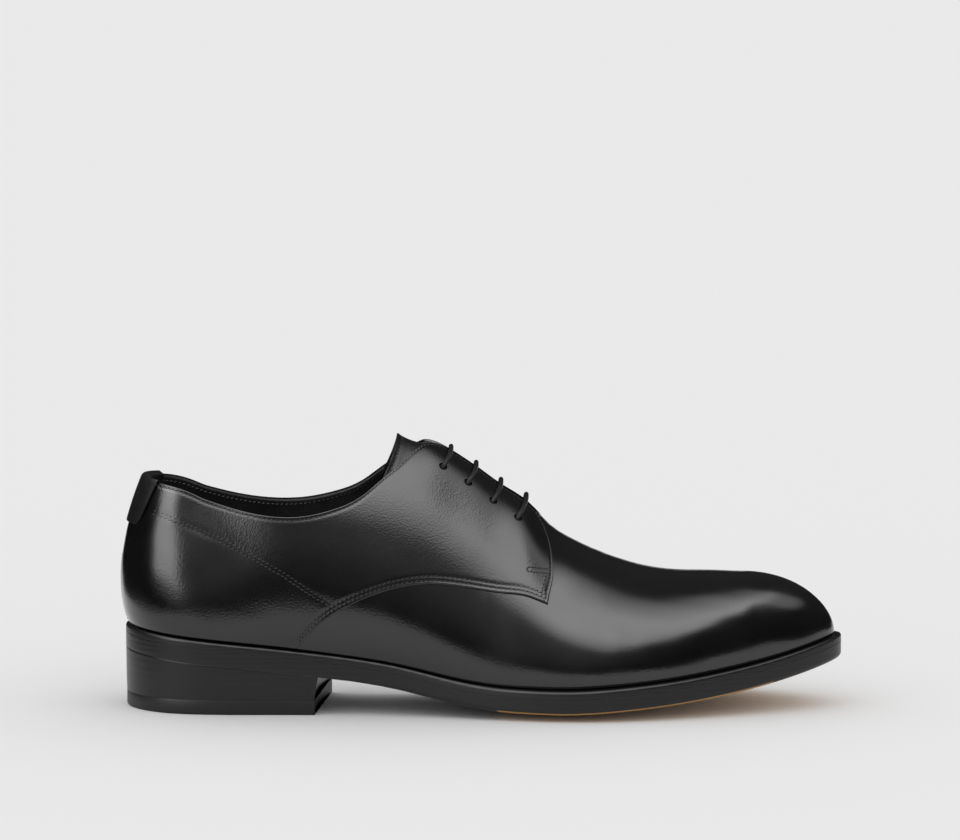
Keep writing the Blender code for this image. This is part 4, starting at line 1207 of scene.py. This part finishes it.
def build_tongue():
    """The tongue, with a rounded free end and cut edges."""
    rows, columns = TONGUE_ROWS, TONGUE_COLUMNS
    lengths = np.linspace(0, 1, rows) ** 1.25
    across = np.linspace(-1, 1, columns)
    laps = np.zeros((rows, columns))
    climbs = np.zeros_like(laps)
    depths = np.zeros_like(laps)
    for i, length in enumerate(lengths):
        for j, share in enumerate(across):
            free_end = TONGUE_TIP + (TONGUE_CORNER - TONGUE_TIP) * share**2
            station = free_end + (TONGUE_ROOT - free_end) * length
            sink = np.clip((station - TONGUE_SINK_FROM) / (TONGUE_SINK_TO - TONGUE_SINK_FROM), 0, 1)
            curl = max(0.0, 1 - (station - free_end) / TONGUE_FLARE_LENGTH) ** 2
            depths[i, j] = (QUARTER_LINING + TONGUE_GAP + (VAMP_WALL - QUARTER_LINING) * sink
                            - TONGUE_FLARE * curl * (1 - share**2))
            side = -1 if share < 0 else 1
            laps[i, j] = lap_at(station, side)
            climbs[i, j] = climb_from_crest(laps[i, j], TONGUE_HALF_WIDTH * abs(share))
    base = last(laps, climbs)
    edge = np.minimum(walked(base, 0), np.minimum(walked(base, 1), walked(base[:, ::-1], 1)[:, ::-1]))
    seam = dip(walked(base, 0) - TONGUE_ROW) * 0.0002
    outer = lifted(laps, climbs, -depths - rounding(edge, TONGUE_ROUND) - seam)
    inner = lifted(laps, climbs, -depths - TONGUE_WALL + rounding(edge, TONGUE_ROUND))
    middle = columns // 2
    for grid in (outer, inner):
        grid[:, middle] = (grid[:, middle - 1] + grid[:, middle + 1]) / 2
        grid[:, middle, 2] += 0.00002
    obj = sheet("tongue_skin", outer, inner, False, [LOOKS["tongue"]])
    row = np.argmin(np.abs(walked(base, 0)[:, middle] - TONGUE_ROW))
    inward = 3
    line = outer[row, inward:-inward]
    square = (outer - inner)[row, inward:-inward]
    return obj, (line, square / np.linalg.norm(square, axis=-1, keepdims=True))


def build_heel_tab():
    """The strip across the back seam, folded over the collar."""
    rows, columns = TAB_ROWS, TAB_COLUMNS
    near, far = [], []
    for across in np.linspace(-1, 1, columns):
        turn = max(0.0, abs(across) - TAB_STRAIGHT) / (1 - TAB_STRAIGHT)
        drop = TAB_DROP - TAB_CORNER * (1 - math.sqrt(1 - turn**2))
        ends = [tab_profile(across * reach, drop, rows) for reach in (TAB_LAP_FOOT, TAB_LAP_TOP)]
        shares = np.array(np.linspace(0, 1, rows).tolist() + [1.0] * 3)[:, None]
        near.append(np.array(ends[0][0]) * (1 - shares) + np.array(ends[1][0]) * shares)
        far.append(np.array(ends[0][1]) * (1 - shares) + np.array(ends[1][1]) * shares)
    near = np.array(near).transpose(1, 0, 2)
    far = np.array(far).transpose(1, 0, 2)
    obj = sheet("heel_tab_skin", far, near, False, [LOOKS["tab"]])
    only(obj)
    edge = obj.modifiers.new("Cut edge", "BEVEL")
    edge.width = 0.0003
    edge.segments = 3
    edge.limit_method = "ANGLE"
    edge.angle_limit = math.radians(50)
    bpy.ops.object.modifier_apply(modifier="Cut edge")
    smooth(obj)
    return obj


def ring_faces(rings, count, closed):
    faces = []
    steps = rings if closed else rings - 1
    for i in range(steps):
        here, there = i * count, (i + 1) % rings * count
        for j in range(count):
            k = (j + 1) % count
            faces.append((here + j, here + k, there + k, there + j))
    return faces


def cap_faces(first, count):
    """Quads across a ring whose points lie in pairs: n from the start and n from the end."""
    faces = [(first, first + 1, first + count - 1)]
    for i in range(1, count // 2 - 1):
        faces.append((first + i, first + i + 1, first + count - i - 1, first + count - i))
    middle = count // 2
    faces.append((first + middle - 1, first + middle, first + middle + 1))
    return faces


def round_corner(radius, steps=7):
    """Insets and drops of a quarter round, from the face to the side."""
    turns = np.linspace(0, math.pi / 2, steps + 1)
    return [(radius * (1 - math.sin(t)), radius * (1 - math.cos(t))) for t in turns]


def even_laps(count):
    half = np.linspace(0, 1, count + 1)
    return np.concatenate([half, -half[-2:0:-1]])


def build_welt():
    laps = even_laps(SOLE_LAPS)
    floor = OUTSOLE_THICKNESS + GAP
    levels = [(inset, DECK - drop) for inset, drop in round_corner(EDGE_ROUND * 0.8)]
    levels += [(0.0, floor + 0.0001), (0.0001, floor), (WELT_SHELF, floor), (WELT_SHELF, DECK)]
    rings = []
    for inset, rise in levels:
        plan = inset_outline(laps, inset)
        rings.append(with_height(plan, edge_height(plan[:, 0]) + rise))
    faces = ring_faces(len(rings), len(laps), True)
    return piece("welt_finish", np.concatenate(rings), faces, [LOOKS["welt"]])


def edge_round_at(x):
    """The sole's lower edge is square over the heel and round in front of it."""
    share = np.clip((x - HEEL_LENGTH - 0.001) / EDGE_BLEND, 0, 1)
    return EDGE_OVER_HEEL + (EDGE_ROUND - EDGE_OVER_HEEL) * share * share * (3 - 2 * share)


def build_outsole():
    """The outsole with its round lower edge. Its tread is tan under the forepart and black at the waist."""
    laps = even_laps(SOLE_LAPS)
    count = len(laps)
    top = OUTSOLE_THICKNESS + GAP - SKIN_UNDER
    rings = []
    levels = ((0.0001, top), (0.0, top - 0.0001), (0.0, top - 0.0005), (0.0, EDGE_ROUND + 0.0006))
    for inset, rise in levels:
        plan = inset_outline(laps, inset)
        rings.append(with_height(plan, edge_height(plan[:, 0]) + rise))
    radius = edge_round_at(outline(laps)[:, 0])
    turns = np.linspace(0, math.pi / 2, 8)
    for turn in turns:
        plan = inset_outline(laps, radius * (1 - math.cos(turn)))
        rings.append(with_height(plan, edge_height(plan[:, 0]) + radius * (1 - math.sin(turn))))
    edge_rings = len(rings)
    for reach in np.concatenate([np.linspace(0.955, 0.1, 16), [0.0]]):
        rings.append(underside(laps, reach))
    caps = cap_faces(0, count)
    faces = caps + ring_faces(len(rings), count, False)
    points = np.concatenate(rings)
    picks = [0] * len(caps)
    for i in range(len(rings) - 1):
        for j in range(count):
            x = points[i * count + j][0]
            tread = TREAD_FROM < x
            edge_of_tread = tread and x < TREAD_TO and i >= edge_rings - 5
            below = i >= edge_rings - 1
            picks.append(1 if edge_of_tread or (tread and below) else 2 if below else 0)
    return piece("outsole_finish", points, faces, [LOOKS["edge"], LOOKS["tread"], LOOKS["waist"]], picks)


def heel_block(name, levels, look):
    """A block through heel outlines. A height is in metres, or a share of the way up to the sole."""
    foot = TOP_PIECE_THICKNESS + GAP
    rings = []
    for inset, shift, height, of_stack in levels:
        plan = heel_ring(inset, shift)
        top = edge_height(plan[:, 0]) - SKIN_UNDER
        z = foot + (top - foot) * height if of_stack else np.full(len(plan), height)
        rings.append(with_height(plan, z))
    count = len(rings[0])
    faces = cap_faces(0, count) + cap_faces((len(rings) - 1) * count, count)
    faces += ring_faces(len(rings), count, False)
    return piece(name, np.concatenate(rings), faces, [look])


def build_heel():
    lean = HEEL_BREAST_LEAN
    stack = [(0.0001, 0.0, 1.0, True), (0.00005, 0.0, 0.994, True), (0.00005, 0.0, 0.96, True),
             (0.0001, -lean * 0.3, 0.7, True), (0.0002, -lean * 0.7, 0.3, True),
             (HEEL_INSET, -lean, 0.05, True), (HEEL_INSET, -lean, 0.006, True),
             (HEEL_INSET + 0.0001, -lean, 0.0, True)]
    rubber = [(HEEL_INSET + 0.0001, -lean, TOP_PIECE_THICKNESS + GAP - SKIN_UNDER, False),
              (HEEL_INSET, -lean, TOP_PIECE_THICKNESS, False),
              (HEEL_INSET, -lean, TOP_PIECE_BEVEL * 1.6, False),
              (HEEL_INSET + TOP_PIECE_BEVEL * 0.5, -lean, TOP_PIECE_BEVEL * 0.5, False),
              (HEEL_INSET + TOP_PIECE_BEVEL * 1.4, -lean, 0.0, False)]
    return (heel_block("heel_stack_finish", stack, LOOKS["heel"]),
            heel_block("top_piece_finish", rubber, LOOKS["rubber"]))


def smooth_path(points, count):
    """A natural spline through the points, resampled evenly."""
    points = np.array(points, float)
    way = walked(points, 0)
    curves = [smooth_curve(way, points[:, axis]) for axis in range(3)]
    fine = np.stack([curve(np.linspace(0, way[-1], count * 6)) for curve in curves], axis=-1)
    way = walked(fine, 0)
    return along_line(np.linspace(0, way[-1], count), way, fine)


def tube(name, path, radius, look, around=LACE_SIDES):
    """A round cord along a path, with a map that runs along and round it, and domed ends."""
    ahead = np.gradient(path, axis=0)
    ahead /= np.linalg.norm(ahead, axis=1, keepdims=True)
    across = np.cross(ahead[0], [0, 0, 1.0])
    across /= np.linalg.norm(across)
    ends = [(0.25, -0.5), (0.75, -0.2)]
    rings, rises = [], []
    way = walked(path, 0)
    stations = [(0, size, back) for size, back in ends]
    stations += [(i, 1.0, 0.0) for i in range(len(path))]
    stations += [(len(path) - 1, size, -back) for size, back in reversed(ends)]
    sides = []
    for i in range(len(path)):
        across = across - ahead[i] * np.dot(across, ahead[i])
        across /= np.linalg.norm(across)
        sides.append(across)
    for i, size, back in stations:
        other = np.cross(ahead[i], sides[i])
        turns = np.linspace(0, 2 * math.pi, around, endpoint=False)
        ring = (path[i] + ahead[i] * back * radius
                + (np.cos(turns)[:, None] * sides[i] + np.sin(turns)[:, None] * other) * radius * size)
        rings.append(ring)
        rises.append((way[i] + back * radius) / (2 * math.pi * radius))
    faces, uvs = [], []
    for i in range(len(rings) - 1):
        for j in range(around):
            k = (j + 1) % around
            faces.append((i * around + j, i * around + k, (i + 1) * around + k, (i + 1) * around + j))
            uvs += [(j / around, rises[i]), ((j + 1) / around, rises[i]),
                    ((j + 1) / around, rises[i + 1]), (j / around, rises[i + 1])]
    for first, flip in ((0, True), ((len(rings) - 1) * around, False)):
        ring = list(range(first, first + around))
        faces.append(tuple(reversed(ring)) if flip else tuple(ring))
        uvs += [(0.5, 0.0)] * around
    return piece(name, np.concatenate(rings), faces, [look], uvs=uvs)


def lace_lean(share):
    """How far forward of its eyelet a bar lies on its way to the crest. It bows forward a little."""
    return LACE_LEAN * share + LACE_BOW * share * (1 - share)


def build_laces(radius):
    """Straight lacing: a bar comes up out of each eyelet, runs over both facings and goes back down."""
    bars = []
    for row, x in enumerate(eyelet_stations()):
        halves = []
        for side in (-1, 1):
            middle, outwards = eyelet_frame(row, x, side)
            middle, outwards = np.array(middle), np.array(outwards)
            reach = eyelet_reach(row, x)
            half = [middle - outwards * 0.0013, middle - outwards * 0.0002]
            lying = np.linspace(0.34, 1 - 0.5 * facing_edge(x / SOLE_LENGTH) / reach, 5)
            way = list(LACE_RISE) + [(share, QUARTER_STEP + radius * 0.98) for share in lying]
            for share, rise in way:
                lap = float(lap_at((x + lace_lean(share)) / SOLE_LENGTH, side))
                climb = climb_from_crest(lap, reach * (1 - share))
                half.append(lifted(lap, climb, rise))
            halves.append(half)
        path = smooth_path(halves[0] + halves[1][::-1], LACE_POINTS)
        bars.append(tube("lace_%d" % (row + 1), path, radius, LOOKS["lace"]))
    return bars


def thread_shape():
    """One stitch of unit length along x: a slim bead with pointed ends."""
    around = 6
    turns = np.linspace(0, 2 * math.pi, around, endpoint=False)
    points = [(-0.5, 0, -0.25)]
    for x, size in ((-0.36, 0.72), (0.0, 1.0), (0.36, 0.72)):
        points += [(x, math.cos(t) * size, math.sin(t) * size) for t in turns]
    points.append((0.5, 0, -0.25))
    faces = [(0, 1 + (j + 1) % around, 1 + j) for j in range(around)]
    for i in range(2):
        a, b = 1 + i * around, 1 + (i + 1) * around
        faces += [(a + j, a + (j + 1) % around, b + (j + 1) % around, b + j) for j in range(around)]
    top = 1 + 2 * around
    faces += [(top + j, top + (j + 1) % around, len(points) - 1) for j in range(around)]
    return np.array(points, float), faces


STITCHES = []


def sew(line, pitch, length, width, slant=0.30, sink=-0.1):
    """Lays stitches along a line of surface points and outward directions."""
    points, square = line
    way = walked(points, 0)
    count = int(way[-1] / pitch)
    if count < 2:
        return
    at = (np.arange(count) + 0.5) * way[-1] / count
    place = along_line(at, way, points)
    ahead = along_line(at + pitch / 4, way, points) - along_line(at - pitch / 4, way, points)
    up = along_line(at, way, square)
    ahead /= np.linalg.norm(ahead, axis=1, keepdims=True)
    up /= np.linalg.norm(up, axis=1, keepdims=True)
    aside = np.cross(up, ahead)
    ahead = ahead + aside * slant
    STITCHES.append((place, ahead, aside, up, length, width, sink, pitch))


def build_stitches(name):
    """All stitches laid so far as one piece, with a dark disc of painted shade between each two, where the
    needle went through.
    """
    bead, bead_faces = thread_shape()
    turns = np.linspace(0, 2 * math.pi, 7, endpoint=False)
    points, faces, picks = [], [], []
    total = 0
    for place, ahead, aside, up, length, width, sink, pitch in STITCHES:
        for p, a, s, u in zip(place, ahead, aside, up):
            shape = (p + bead[:, :1] * length * a + bead[:, 1:2] * width / 2 * s
                     + (bead[:, 2:] * 0.75 - sink) * width / 2 * u)
            points.append(shape)
            faces += [tuple(v + total for v in face) for face in bead_faces]
            picks += [0] * len(bead_faces)
            total += len(shape)
            # A flat dark disc just above the leather, not a cut: painted shade where the needle went
            # through
            hole = (p + a * pitch / 2 + u * 0.00007
                    + (np.cos(turns)[:, None] * a * 0.9 + np.sin(turns)[:, None] * s) * width * 0.66)
            points.append(hole)
            faces.append(tuple(range(total, total + len(turns))))
            picks.append(1)
            total += len(hole)
    STITCHES.clear()
    return piece(name, np.concatenate(points), faces, [LOOKS["thread"], LOOKS["hole"]], picks,
                 merge=1e-7, turn_out=False)


def plan_stitches(stitch, tongue_line):
    """Every seam of the upper, in the order in which a closer would sew them."""
    pitch, length, width = stitch.pitch, stitch.length, stitch.width
    for quarter in make_quarters():
        for row in HEM_ROWS:
            sew(quarter.line_from_low(row, QUARTER_FOOT + 0.001), pitch, length, width)
        sew(quarter.line_from_top(COLLAR_ROW), pitch, length, width)
        sew(quarter.line_from_front(FRONT_ROWS[0]), pitch, length, width)
        sew(quarter.line_from_front(FRONT_ROWS[1], BAR_TACK[1][1] - 0.001), pitch, length, width)
        for shift in (-ROW_DISTANCE / 2, ROW_DISTANCE / 2):
            seam = line_on_last(quarter.counter[COUNTER_SEWN], QUARTER_STEP - ROW_DIP)
            sew(shifted(seam, shift), pitch, length, width)
        sew(bar_tack(quarter), BAR_TACK_PITCH, BAR_TACK_STITCH, width * 1.1)
        climbs = np.linspace(BACK_SEAM[0], BACK_SEAM[1], BACK_SEAM_POINTS)
        way = np.stack([np.full(len(climbs), BACK_SEAM_LAP * quarter.side), climbs], axis=-1)
        sew(line_on_last(way, QUARTER_STEP), pitch * 0.7, length * 0.7, width * 0.8)
    sew(collar_row_inside(), pitch, length, width)
    sew(tongue_line, pitch, length, width)


def collar_row_inside():
    """The collar's row of stitches where it comes out of the lining."""
    laps = laps_round_heel(LINING_FRONT, COLLAR_POINTS)
    climbs = np.array([climb_from_top(lap, LINING_ROW) for lap in laps])
    points = lifted(laps, climbs, -QUARTER_LINING)
    return points, lifted(laps, climbs, -1.0) - last(laps, climbs)


def climb_from_top(lap, distance):
    """The climb that lies a distance below the collar's edge, over the surface."""
    high = float(quarter_top(lap))
    near = last(np.array([lap, lap]), np.array([high - 0.05, high]))
    return high - 0.05 * distance / float(np.linalg.norm(near[1] - near[0]))


def shifted(line, distance):
    """The line moved sideways over the surface."""
    points, square = line
    ahead = np.gradient(points, axis=0)
    aside = np.cross(square, ahead)
    aside /= np.linalg.norm(aside, axis=1, keepdims=True)
    return points + aside * distance, square


def bar_tack(quarter):
    """A slim loop of stitches that holds the quarter's front corner."""
    (x0, z0), (x1, z1) = BAR_TACK
    along = np.array([x1 - x0, z1 - z0])
    length = np.linalg.norm(along)
    along /= length
    across = np.array([-along[1], along[0]])
    half = BAR_TACK_HALF
    turns = np.linspace(math.pi / 2, 3 * math.pi / 2, BAR_TACK_STEPS)
    shares = np.linspace(1, BAR_TACK_BEND, BAR_TACK_STEPS)
    bend = BAR_TACK_BEND * length
    outline_points = [(t * length, half) for t in shares]
    outline_points += [(bend + math.cos(t) * half * 1.1, math.sin(t) * half) for t in turns]
    outline_points += [(t * length, -half) for t in shares[::-1]]
    places = [np.array([x0, z0]) + along * u + across * v for u, v in outline_points]
    return line_on_last(np.array([quarter.seen_at(x, z) for x, z in places]), QUARTER_STEP)


# Studio


PAPER_SIZE = 60.0
PAPER_LEFT = 0.32
PAPER_FRONT = 0.45
BACKDROP = (0.823, 0.823, 0.823, 1.0)
WHITE = (1.0, 1.0, 1.0, 1.0)

# Boxes of light, each with its middle, half sizes and soft edges over its depth. The tall one
# stands in front of the heel, turned from the left towards the camera.
OVER_DEPTH_SHARE = 0.66
OVER_EDGES = (0.09, 0.33)
CORNER_LIGHT = ((0.72, 0.02), (0.3, 0.26), (0.15, 0.15))
CORNER_SHARE = 0.35
TALL_LIGHT = ((0.04, 0.51), (0.33, 0.40), (0.08, 0.07))
TALL_TURN = math.radians(45.0)
LIGHT_NEAREST = 0.02
LIGHT_CORNER = 0.2
VEIL_FADE = 1.3
SOFT_LEVEL = 1.1
SOFT_FALL = -0.15

CAMERA_DISTANCE = 6.0
CAMERA_RISE = math.radians(8.0)
CAMERA_TARGET = (-0.0005, 0.0, 0.1222)
CAMERA_SENSOR = 36.0
CAMERA_WIDTH = 0.4085


def build_stage(studio):
    bpy.ops.object.select_all(action="DESELECT")
    middle = (PAPER_SIZE / 2 - PAPER_LEFT, PAPER_SIZE / 2 - PAPER_FRONT, 0)
    bpy.ops.mesh.primitive_plane_add(size=PAPER_SIZE, location=middle)
    floor = bpy.context.object
    floor.name = "studio_floor"
    paper = new_material("studio_paper", tuple(studio.paper), 0.9, Specular_IOR_Level=0.0)
    floor.data.materials.append(paper)
    world = bpy.data.worlds.new("Studio")
    bpy.context.scene.world = world
    world.use_nodes = True
    tree = world.node_tree
    tree.nodes.clear()
    out = tree.nodes.new("ShaderNodeOutputWorld")
    where = tree.nodes.new("ShaderNodeTexCoord")
    split = tree.nodes.new("ShaderNodeSeparateXYZ")
    tree.links.new(where.outputs["Generated"], split.inputs["Vector"])

    def maths(operation, a, b=None, c=None):
        node = tree.nodes.new("ShaderNodeMath")
        node.operation = operation
        for i, value in enumerate((a, b, c)):
            if value is None:
                continue
            if isinstance(value, (int, float)):
                node.inputs[i].default_value = value
            else:
                tree.links.new(value, node.inputs[i])
        return node.outputs["Value"]

    def box(axis_a, axis_b, depth, centre, half, edge):
        """A soft rectangle of light seen along one direction: its two coordinates over the depth."""
        shape = None
        for axis, middle, size, blur in zip((axis_a, axis_b), centre, half, edge):
            seen = maths("DIVIDE", axis, maths("MAXIMUM", depth, 0.001))
            off = maths("ABSOLUTE", maths("SUBTRACT", seen, middle))
            beyond = maths("DIVIDE", maths("SUBTRACT", off, size - blur), 2 * blur)
            beyond = maths("SMOOTH_MIN", 1.0, maths("MAXIMUM", beyond, 0.0), LIGHT_CORNER)
            inside = maths("MAXIMUM", maths("SUBTRACT", 1.0, beyond), 0.0)
            shape = inside if shape is None else maths("MULTIPLY", shape, inside)
        facing = maths("GREATER_THAN", depth, LIGHT_NEAREST)
        return maths("MULTIPLY", shape, facing)

    x, y, z = split.outputs
    left = maths("MULTIPLY", x, -1.0)
    front = maths("MULTIPLY", y, -1.0)
    turn = (math.sin(TALL_TURN), math.cos(TALL_TURN))
    tall = maths("MULTIPLY_ADD", left, turn[0], maths("MULTIPLY", front, turn[1]))
    across = maths("SUBTRACT", maths("MULTIPLY", left, turn[1]), maths("MULTIPLY", front, turn[0]))
    above = maths("MAXIMUM", z, 0.0)
    half = (studio.over_half, studio.over_half * OVER_DEPTH_SHARE)
    over = box(x, y, z, (studio.over_x, studio.over_y), half, OVER_EDGES)
    over = maths("MULTIPLY_ADD", box(x, y, z, *CORNER_LIGHT), CORNER_SHARE, over)
    side = box(across, z, tall, *TALL_LIGHT)
    veil = maths("SUBTRACT", front, maths("MULTIPLY", maths("MAXIMUM", x, 0.0), VEIL_FADE))
    veil = maths("MULTIPLY", maths("MAXIMUM", veil, 0.0), above)
    light = maths("MULTIPLY_ADD", over, studio.over_power, maths("MULTIPLY", above, studio.fill))
    light = maths("MULTIPLY_ADD", side, studio.side_power, light)
    light = maths("MULTIPLY_ADD", veil, studio.veil_power, light)
    soft = maths("MULTIPLY_ADD", above, studio.soft_power * SOFT_FALL, studio.soft_power * SOFT_LEVEL)
    path = tree.nodes.new("ShaderNodeLightPath")

    def background(colour, strength=None):
        node = tree.nodes.new("ShaderNodeBackground")
        node.inputs["Color"].default_value = colour
        if strength is not None:
            tree.links.new(strength, node.inputs["Strength"])
        return node.outputs["Background"]

    def pick(ray, otherwise, seen):
        node = tree.nodes.new("ShaderNodeMixShader")
        tree.links.new(path.outputs[ray], node.inputs["Fac"])
        tree.links.new(otherwise, node.inputs[1])
        tree.links.new(seen, node.inputs[2])
        return node.outputs["Shader"]

    mirrored = pick("Is Glossy Ray", background(WHITE, soft), background(WHITE, light))
    shown = pick("Is Camera Ray", mirrored, background(BACKDROP))
    tree.links.new(shown, out.inputs["Surface"])


def set_colours():
    """Shows colours as the photograph does, with no film look."""
    bpy.context.scene.view_settings.view_transform = "Standard"
    bpy.context.scene.view_settings.look = "None"


def aim_camera():
    """The photograph's view: a long lens, a little above the shoe, square to its outer side."""
    data = bpy.data.cameras.new("Camera")
    camera = bpy.data.objects.new("Camera", data)
    bpy.context.scene.collection.objects.link(camera)
    bpy.context.scene.camera = camera
    back = Vector((0.0, -math.cos(CAMERA_RISE), math.sin(CAMERA_RISE)))
    camera.location = Vector(CAMERA_TARGET) + back * CAMERA_DISTANCE
    camera.rotation_euler = (math.pi / 2 - CAMERA_RISE, 0.0, 0.0)
    data.sensor_width = CAMERA_SENSOR
    data.lens = CAMERA_SENSOR * CAMERA_DISTANCE / CAMERA_WIDTH
    data.clip_end = 100.0


# Add-on classes


def colour(name, text, default):
    return bpy.props.FloatVectorProperty(name=name, description=text, subtype="COLOR", size=3,
                                         min=0, max=1, default=default)


def metres(name, text, low, high, default):
    return bpy.props.FloatProperty(name=name, description=text, unit="LENGTH",
                                   min=low, max=high, default=default)


def amount(name, text, low, high, default):
    return bpy.props.FloatProperty(name=name, description=text, min=low, max=high, default=default)


class ShoeLooks(bpy.types.PropertyGroup):
    leather: colour("Leather", "Colour of the black calf", (0.0013, 0.0013, 0.0016))
    lining: colour("Lining", "Colour of the lining", (0.008, 0.0078, 0.0076))
    underside: colour("Underside", "Colour of the forepart's tread", (0.44, 0.24, 0.07))


class StitchSizes(bpy.types.PropertyGroup):
    pitch: metres("Pitch", "From one stitch to the next", 0.0008, 0.006, 0.0020)
    length: metres("Length", "Length of the thread that shows", 0.0004, 0.005, 0.00135)
    width: metres("Width", "Thickness of the thread", 0.0002, 0.002, 0.0006)


class LaceSizes(bpy.types.PropertyGroup):
    radius: metres("Radius", "Half the thickness of the lace", 0.0005, 0.003, 0.00102)


class StudioLight(bpy.types.PropertyGroup):
    paper: colour("Paper", "Colour of the floor", (0.93, 0.93, 0.93))
    fill: amount("Fill", "Light from all round", 0, 5, 0.08)
    over_power: amount("Top light", "Strength of the light above", 0, 40, 3.0)
    over_x: amount("Top light x", "Place of the light above", -2, 2, -0.4)
    over_y: amount("Top light y", "Place of the light above", -2, 2, -0.6)
    over_half: amount("Top light size", "Half its width over its height", 0.1, 3, 0.98)
    side_power: amount("Tall light", "Strength of the light in front of the heel", 0, 40, 3.2)
    veil_power: amount("Veil", "Strength of the glow over the camera", 0, 40, 0.7)
    soft_power: amount("Soft light", "Even light on the floor and all that is matt", 0, 10, 0.88)


class SHOE_OT_looks(bpy.types.Operator):
    """Make the finishes of the shoe"""
    bl_idname = "shoe.looks"
    bl_label = "Finishes"

    def execute(self, context):
        make_looks(context.scene.shoe_looks)
        return {"FINISHED"}


class SHOE_OT_upper(bpy.types.Operator):
    """Build the vamp, the quarters with their eyelets, and the lining"""
    bl_idname = "shoe.upper"
    bl_label = "Upper"

    def execute(self, context):
        finish_piece(build_vamp(), "upper_leather", "upper")
        finish_piece(build_quarters(), "upper_leather", "upper")
        finish_piece(build_lining(), "insole_leather", "upper")
        return {"FINISHED"}


class SHOE_OT_tongue(bpy.types.Operator):
    """Build the tongue"""
    bl_idname = "shoe.tongue"
    bl_label = "Tongue"

    def execute(self, context):
        obj, line = build_tongue()
        STITCHES.clear()
        plan_stitches(context.scene.shoe_stitches, line)
        finish_piece(obj, "tongue_leather", "tongue")
        return {"FINISHED"}


class SHOE_OT_stitches(bpy.types.Operator):
    """Sew the seams of the upper and the tongue"""
    bl_idname = "shoe.stitches"
    bl_label = "Stitches"

    def execute(self, context):
        finish_piece(build_stitches("stitches"), "upper_leather")
        return {"FINISHED"}


class SHOE_OT_heel_tab(bpy.types.Operator):
    """Build the strip over the back seam"""
    bl_idname = "shoe.heel_tab"
    bl_label = "Heel tab"

    def execute(self, context):
        finish_piece(build_heel_tab(), "tab_leather", "heel_tab")
        return {"FINISHED"}


class SHOE_OT_bottom(bpy.types.Operator):
    """Build the welt, the outsole and the heel, and finish the insole"""
    bl_idname = "shoe.bottom"
    bl_label = "Bottom"

    def execute(self, context):
        finish_piece(build_welt(), "welt_leather", "welt")
        finish_piece(build_outsole(), "sole_leather", "outsole")
        stack, rubber = build_heel()
        finish_piece(stack, "heel_leather", "heel_stack")
        finish_piece(rubber, "heel_rubber", "top_piece")
        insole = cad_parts["insole"]
        insole.material_slots[0].material = LOOKS["insole"]
        return {"FINISHED"}


class SHOE_OT_laces(bpy.types.Operator):
    """Lace the shoe with straight bars"""
    bl_idname = "shoe.laces"
    bl_label = "Laces"

    def execute(self, context):
        for row, bar in enumerate(build_laces(context.scene.shoe_lace.radius)):
            finish_piece(bar, "lace_cord", "lace_bar_%d" % (row + 1))
        return {"FINISHED"}


class SHOE_OT_stage(bpy.types.Operator):
    """Set the floor, the light and the camera"""
    bl_idname = "shoe.stage"
    bl_label = "Stage"

    def execute(self, context):
        build_stage(context.scene.shoe_studio)
        set_colours()
        aim_camera()
        return {"FINISHED"}


class SHOE_PT_panel(bpy.types.Panel):
    """The shoe's sizes, colours and steps"""
    bl_idname = "SHOE_PT_panel"
    bl_label = "Derby shoe"
    bl_space_type = "VIEW_3D"
    bl_region_type = "UI"
    bl_category = "Shoe"

    def draw(self, context):
        scene = context.scene
        for group in (scene.shoe_looks, scene.shoe_stitches, scene.shoe_lace, scene.shoe_studio):
            box = self.layout.box()
            for name in group.__annotations__:
                box.prop(group, name)
        for operator in OPERATORS:
            self.layout.operator(operator.bl_idname)


GROUPS = {"shoe_looks": ShoeLooks, "shoe_stitches": StitchSizes, "shoe_lace": LaceSizes,
          "shoe_studio": StudioLight}
OPERATORS = (SHOE_OT_looks, SHOE_OT_upper, SHOE_OT_tongue, SHOE_OT_stitches, SHOE_OT_heel_tab,
             SHOE_OT_bottom, SHOE_OT_laces, SHOE_OT_stage)


def register():
    for name, group in GROUPS.items():
        bpy.utils.register_class(group)
        setattr(bpy.types.Scene, name, bpy.props.PointerProperty(type=group))
    for cls in OPERATORS + (SHOE_PT_panel,):
        bpy.utils.register_class(cls)


def unregister():
    for cls in reversed(OPERATORS + (SHOE_PT_panel,)):
        bpy.utils.unregister_class(cls)
    for name, group in GROUPS.items():
        delattr(bpy.types.Scene, name)
        bpy.utils.unregister_class(group)


def main():
    register()
    for operator in OPERATORS:
        family, step = operator.bl_idname.split(".")
        getattr(getattr(bpy.ops, family), step)()


if __name__ == "__main__":
    main()
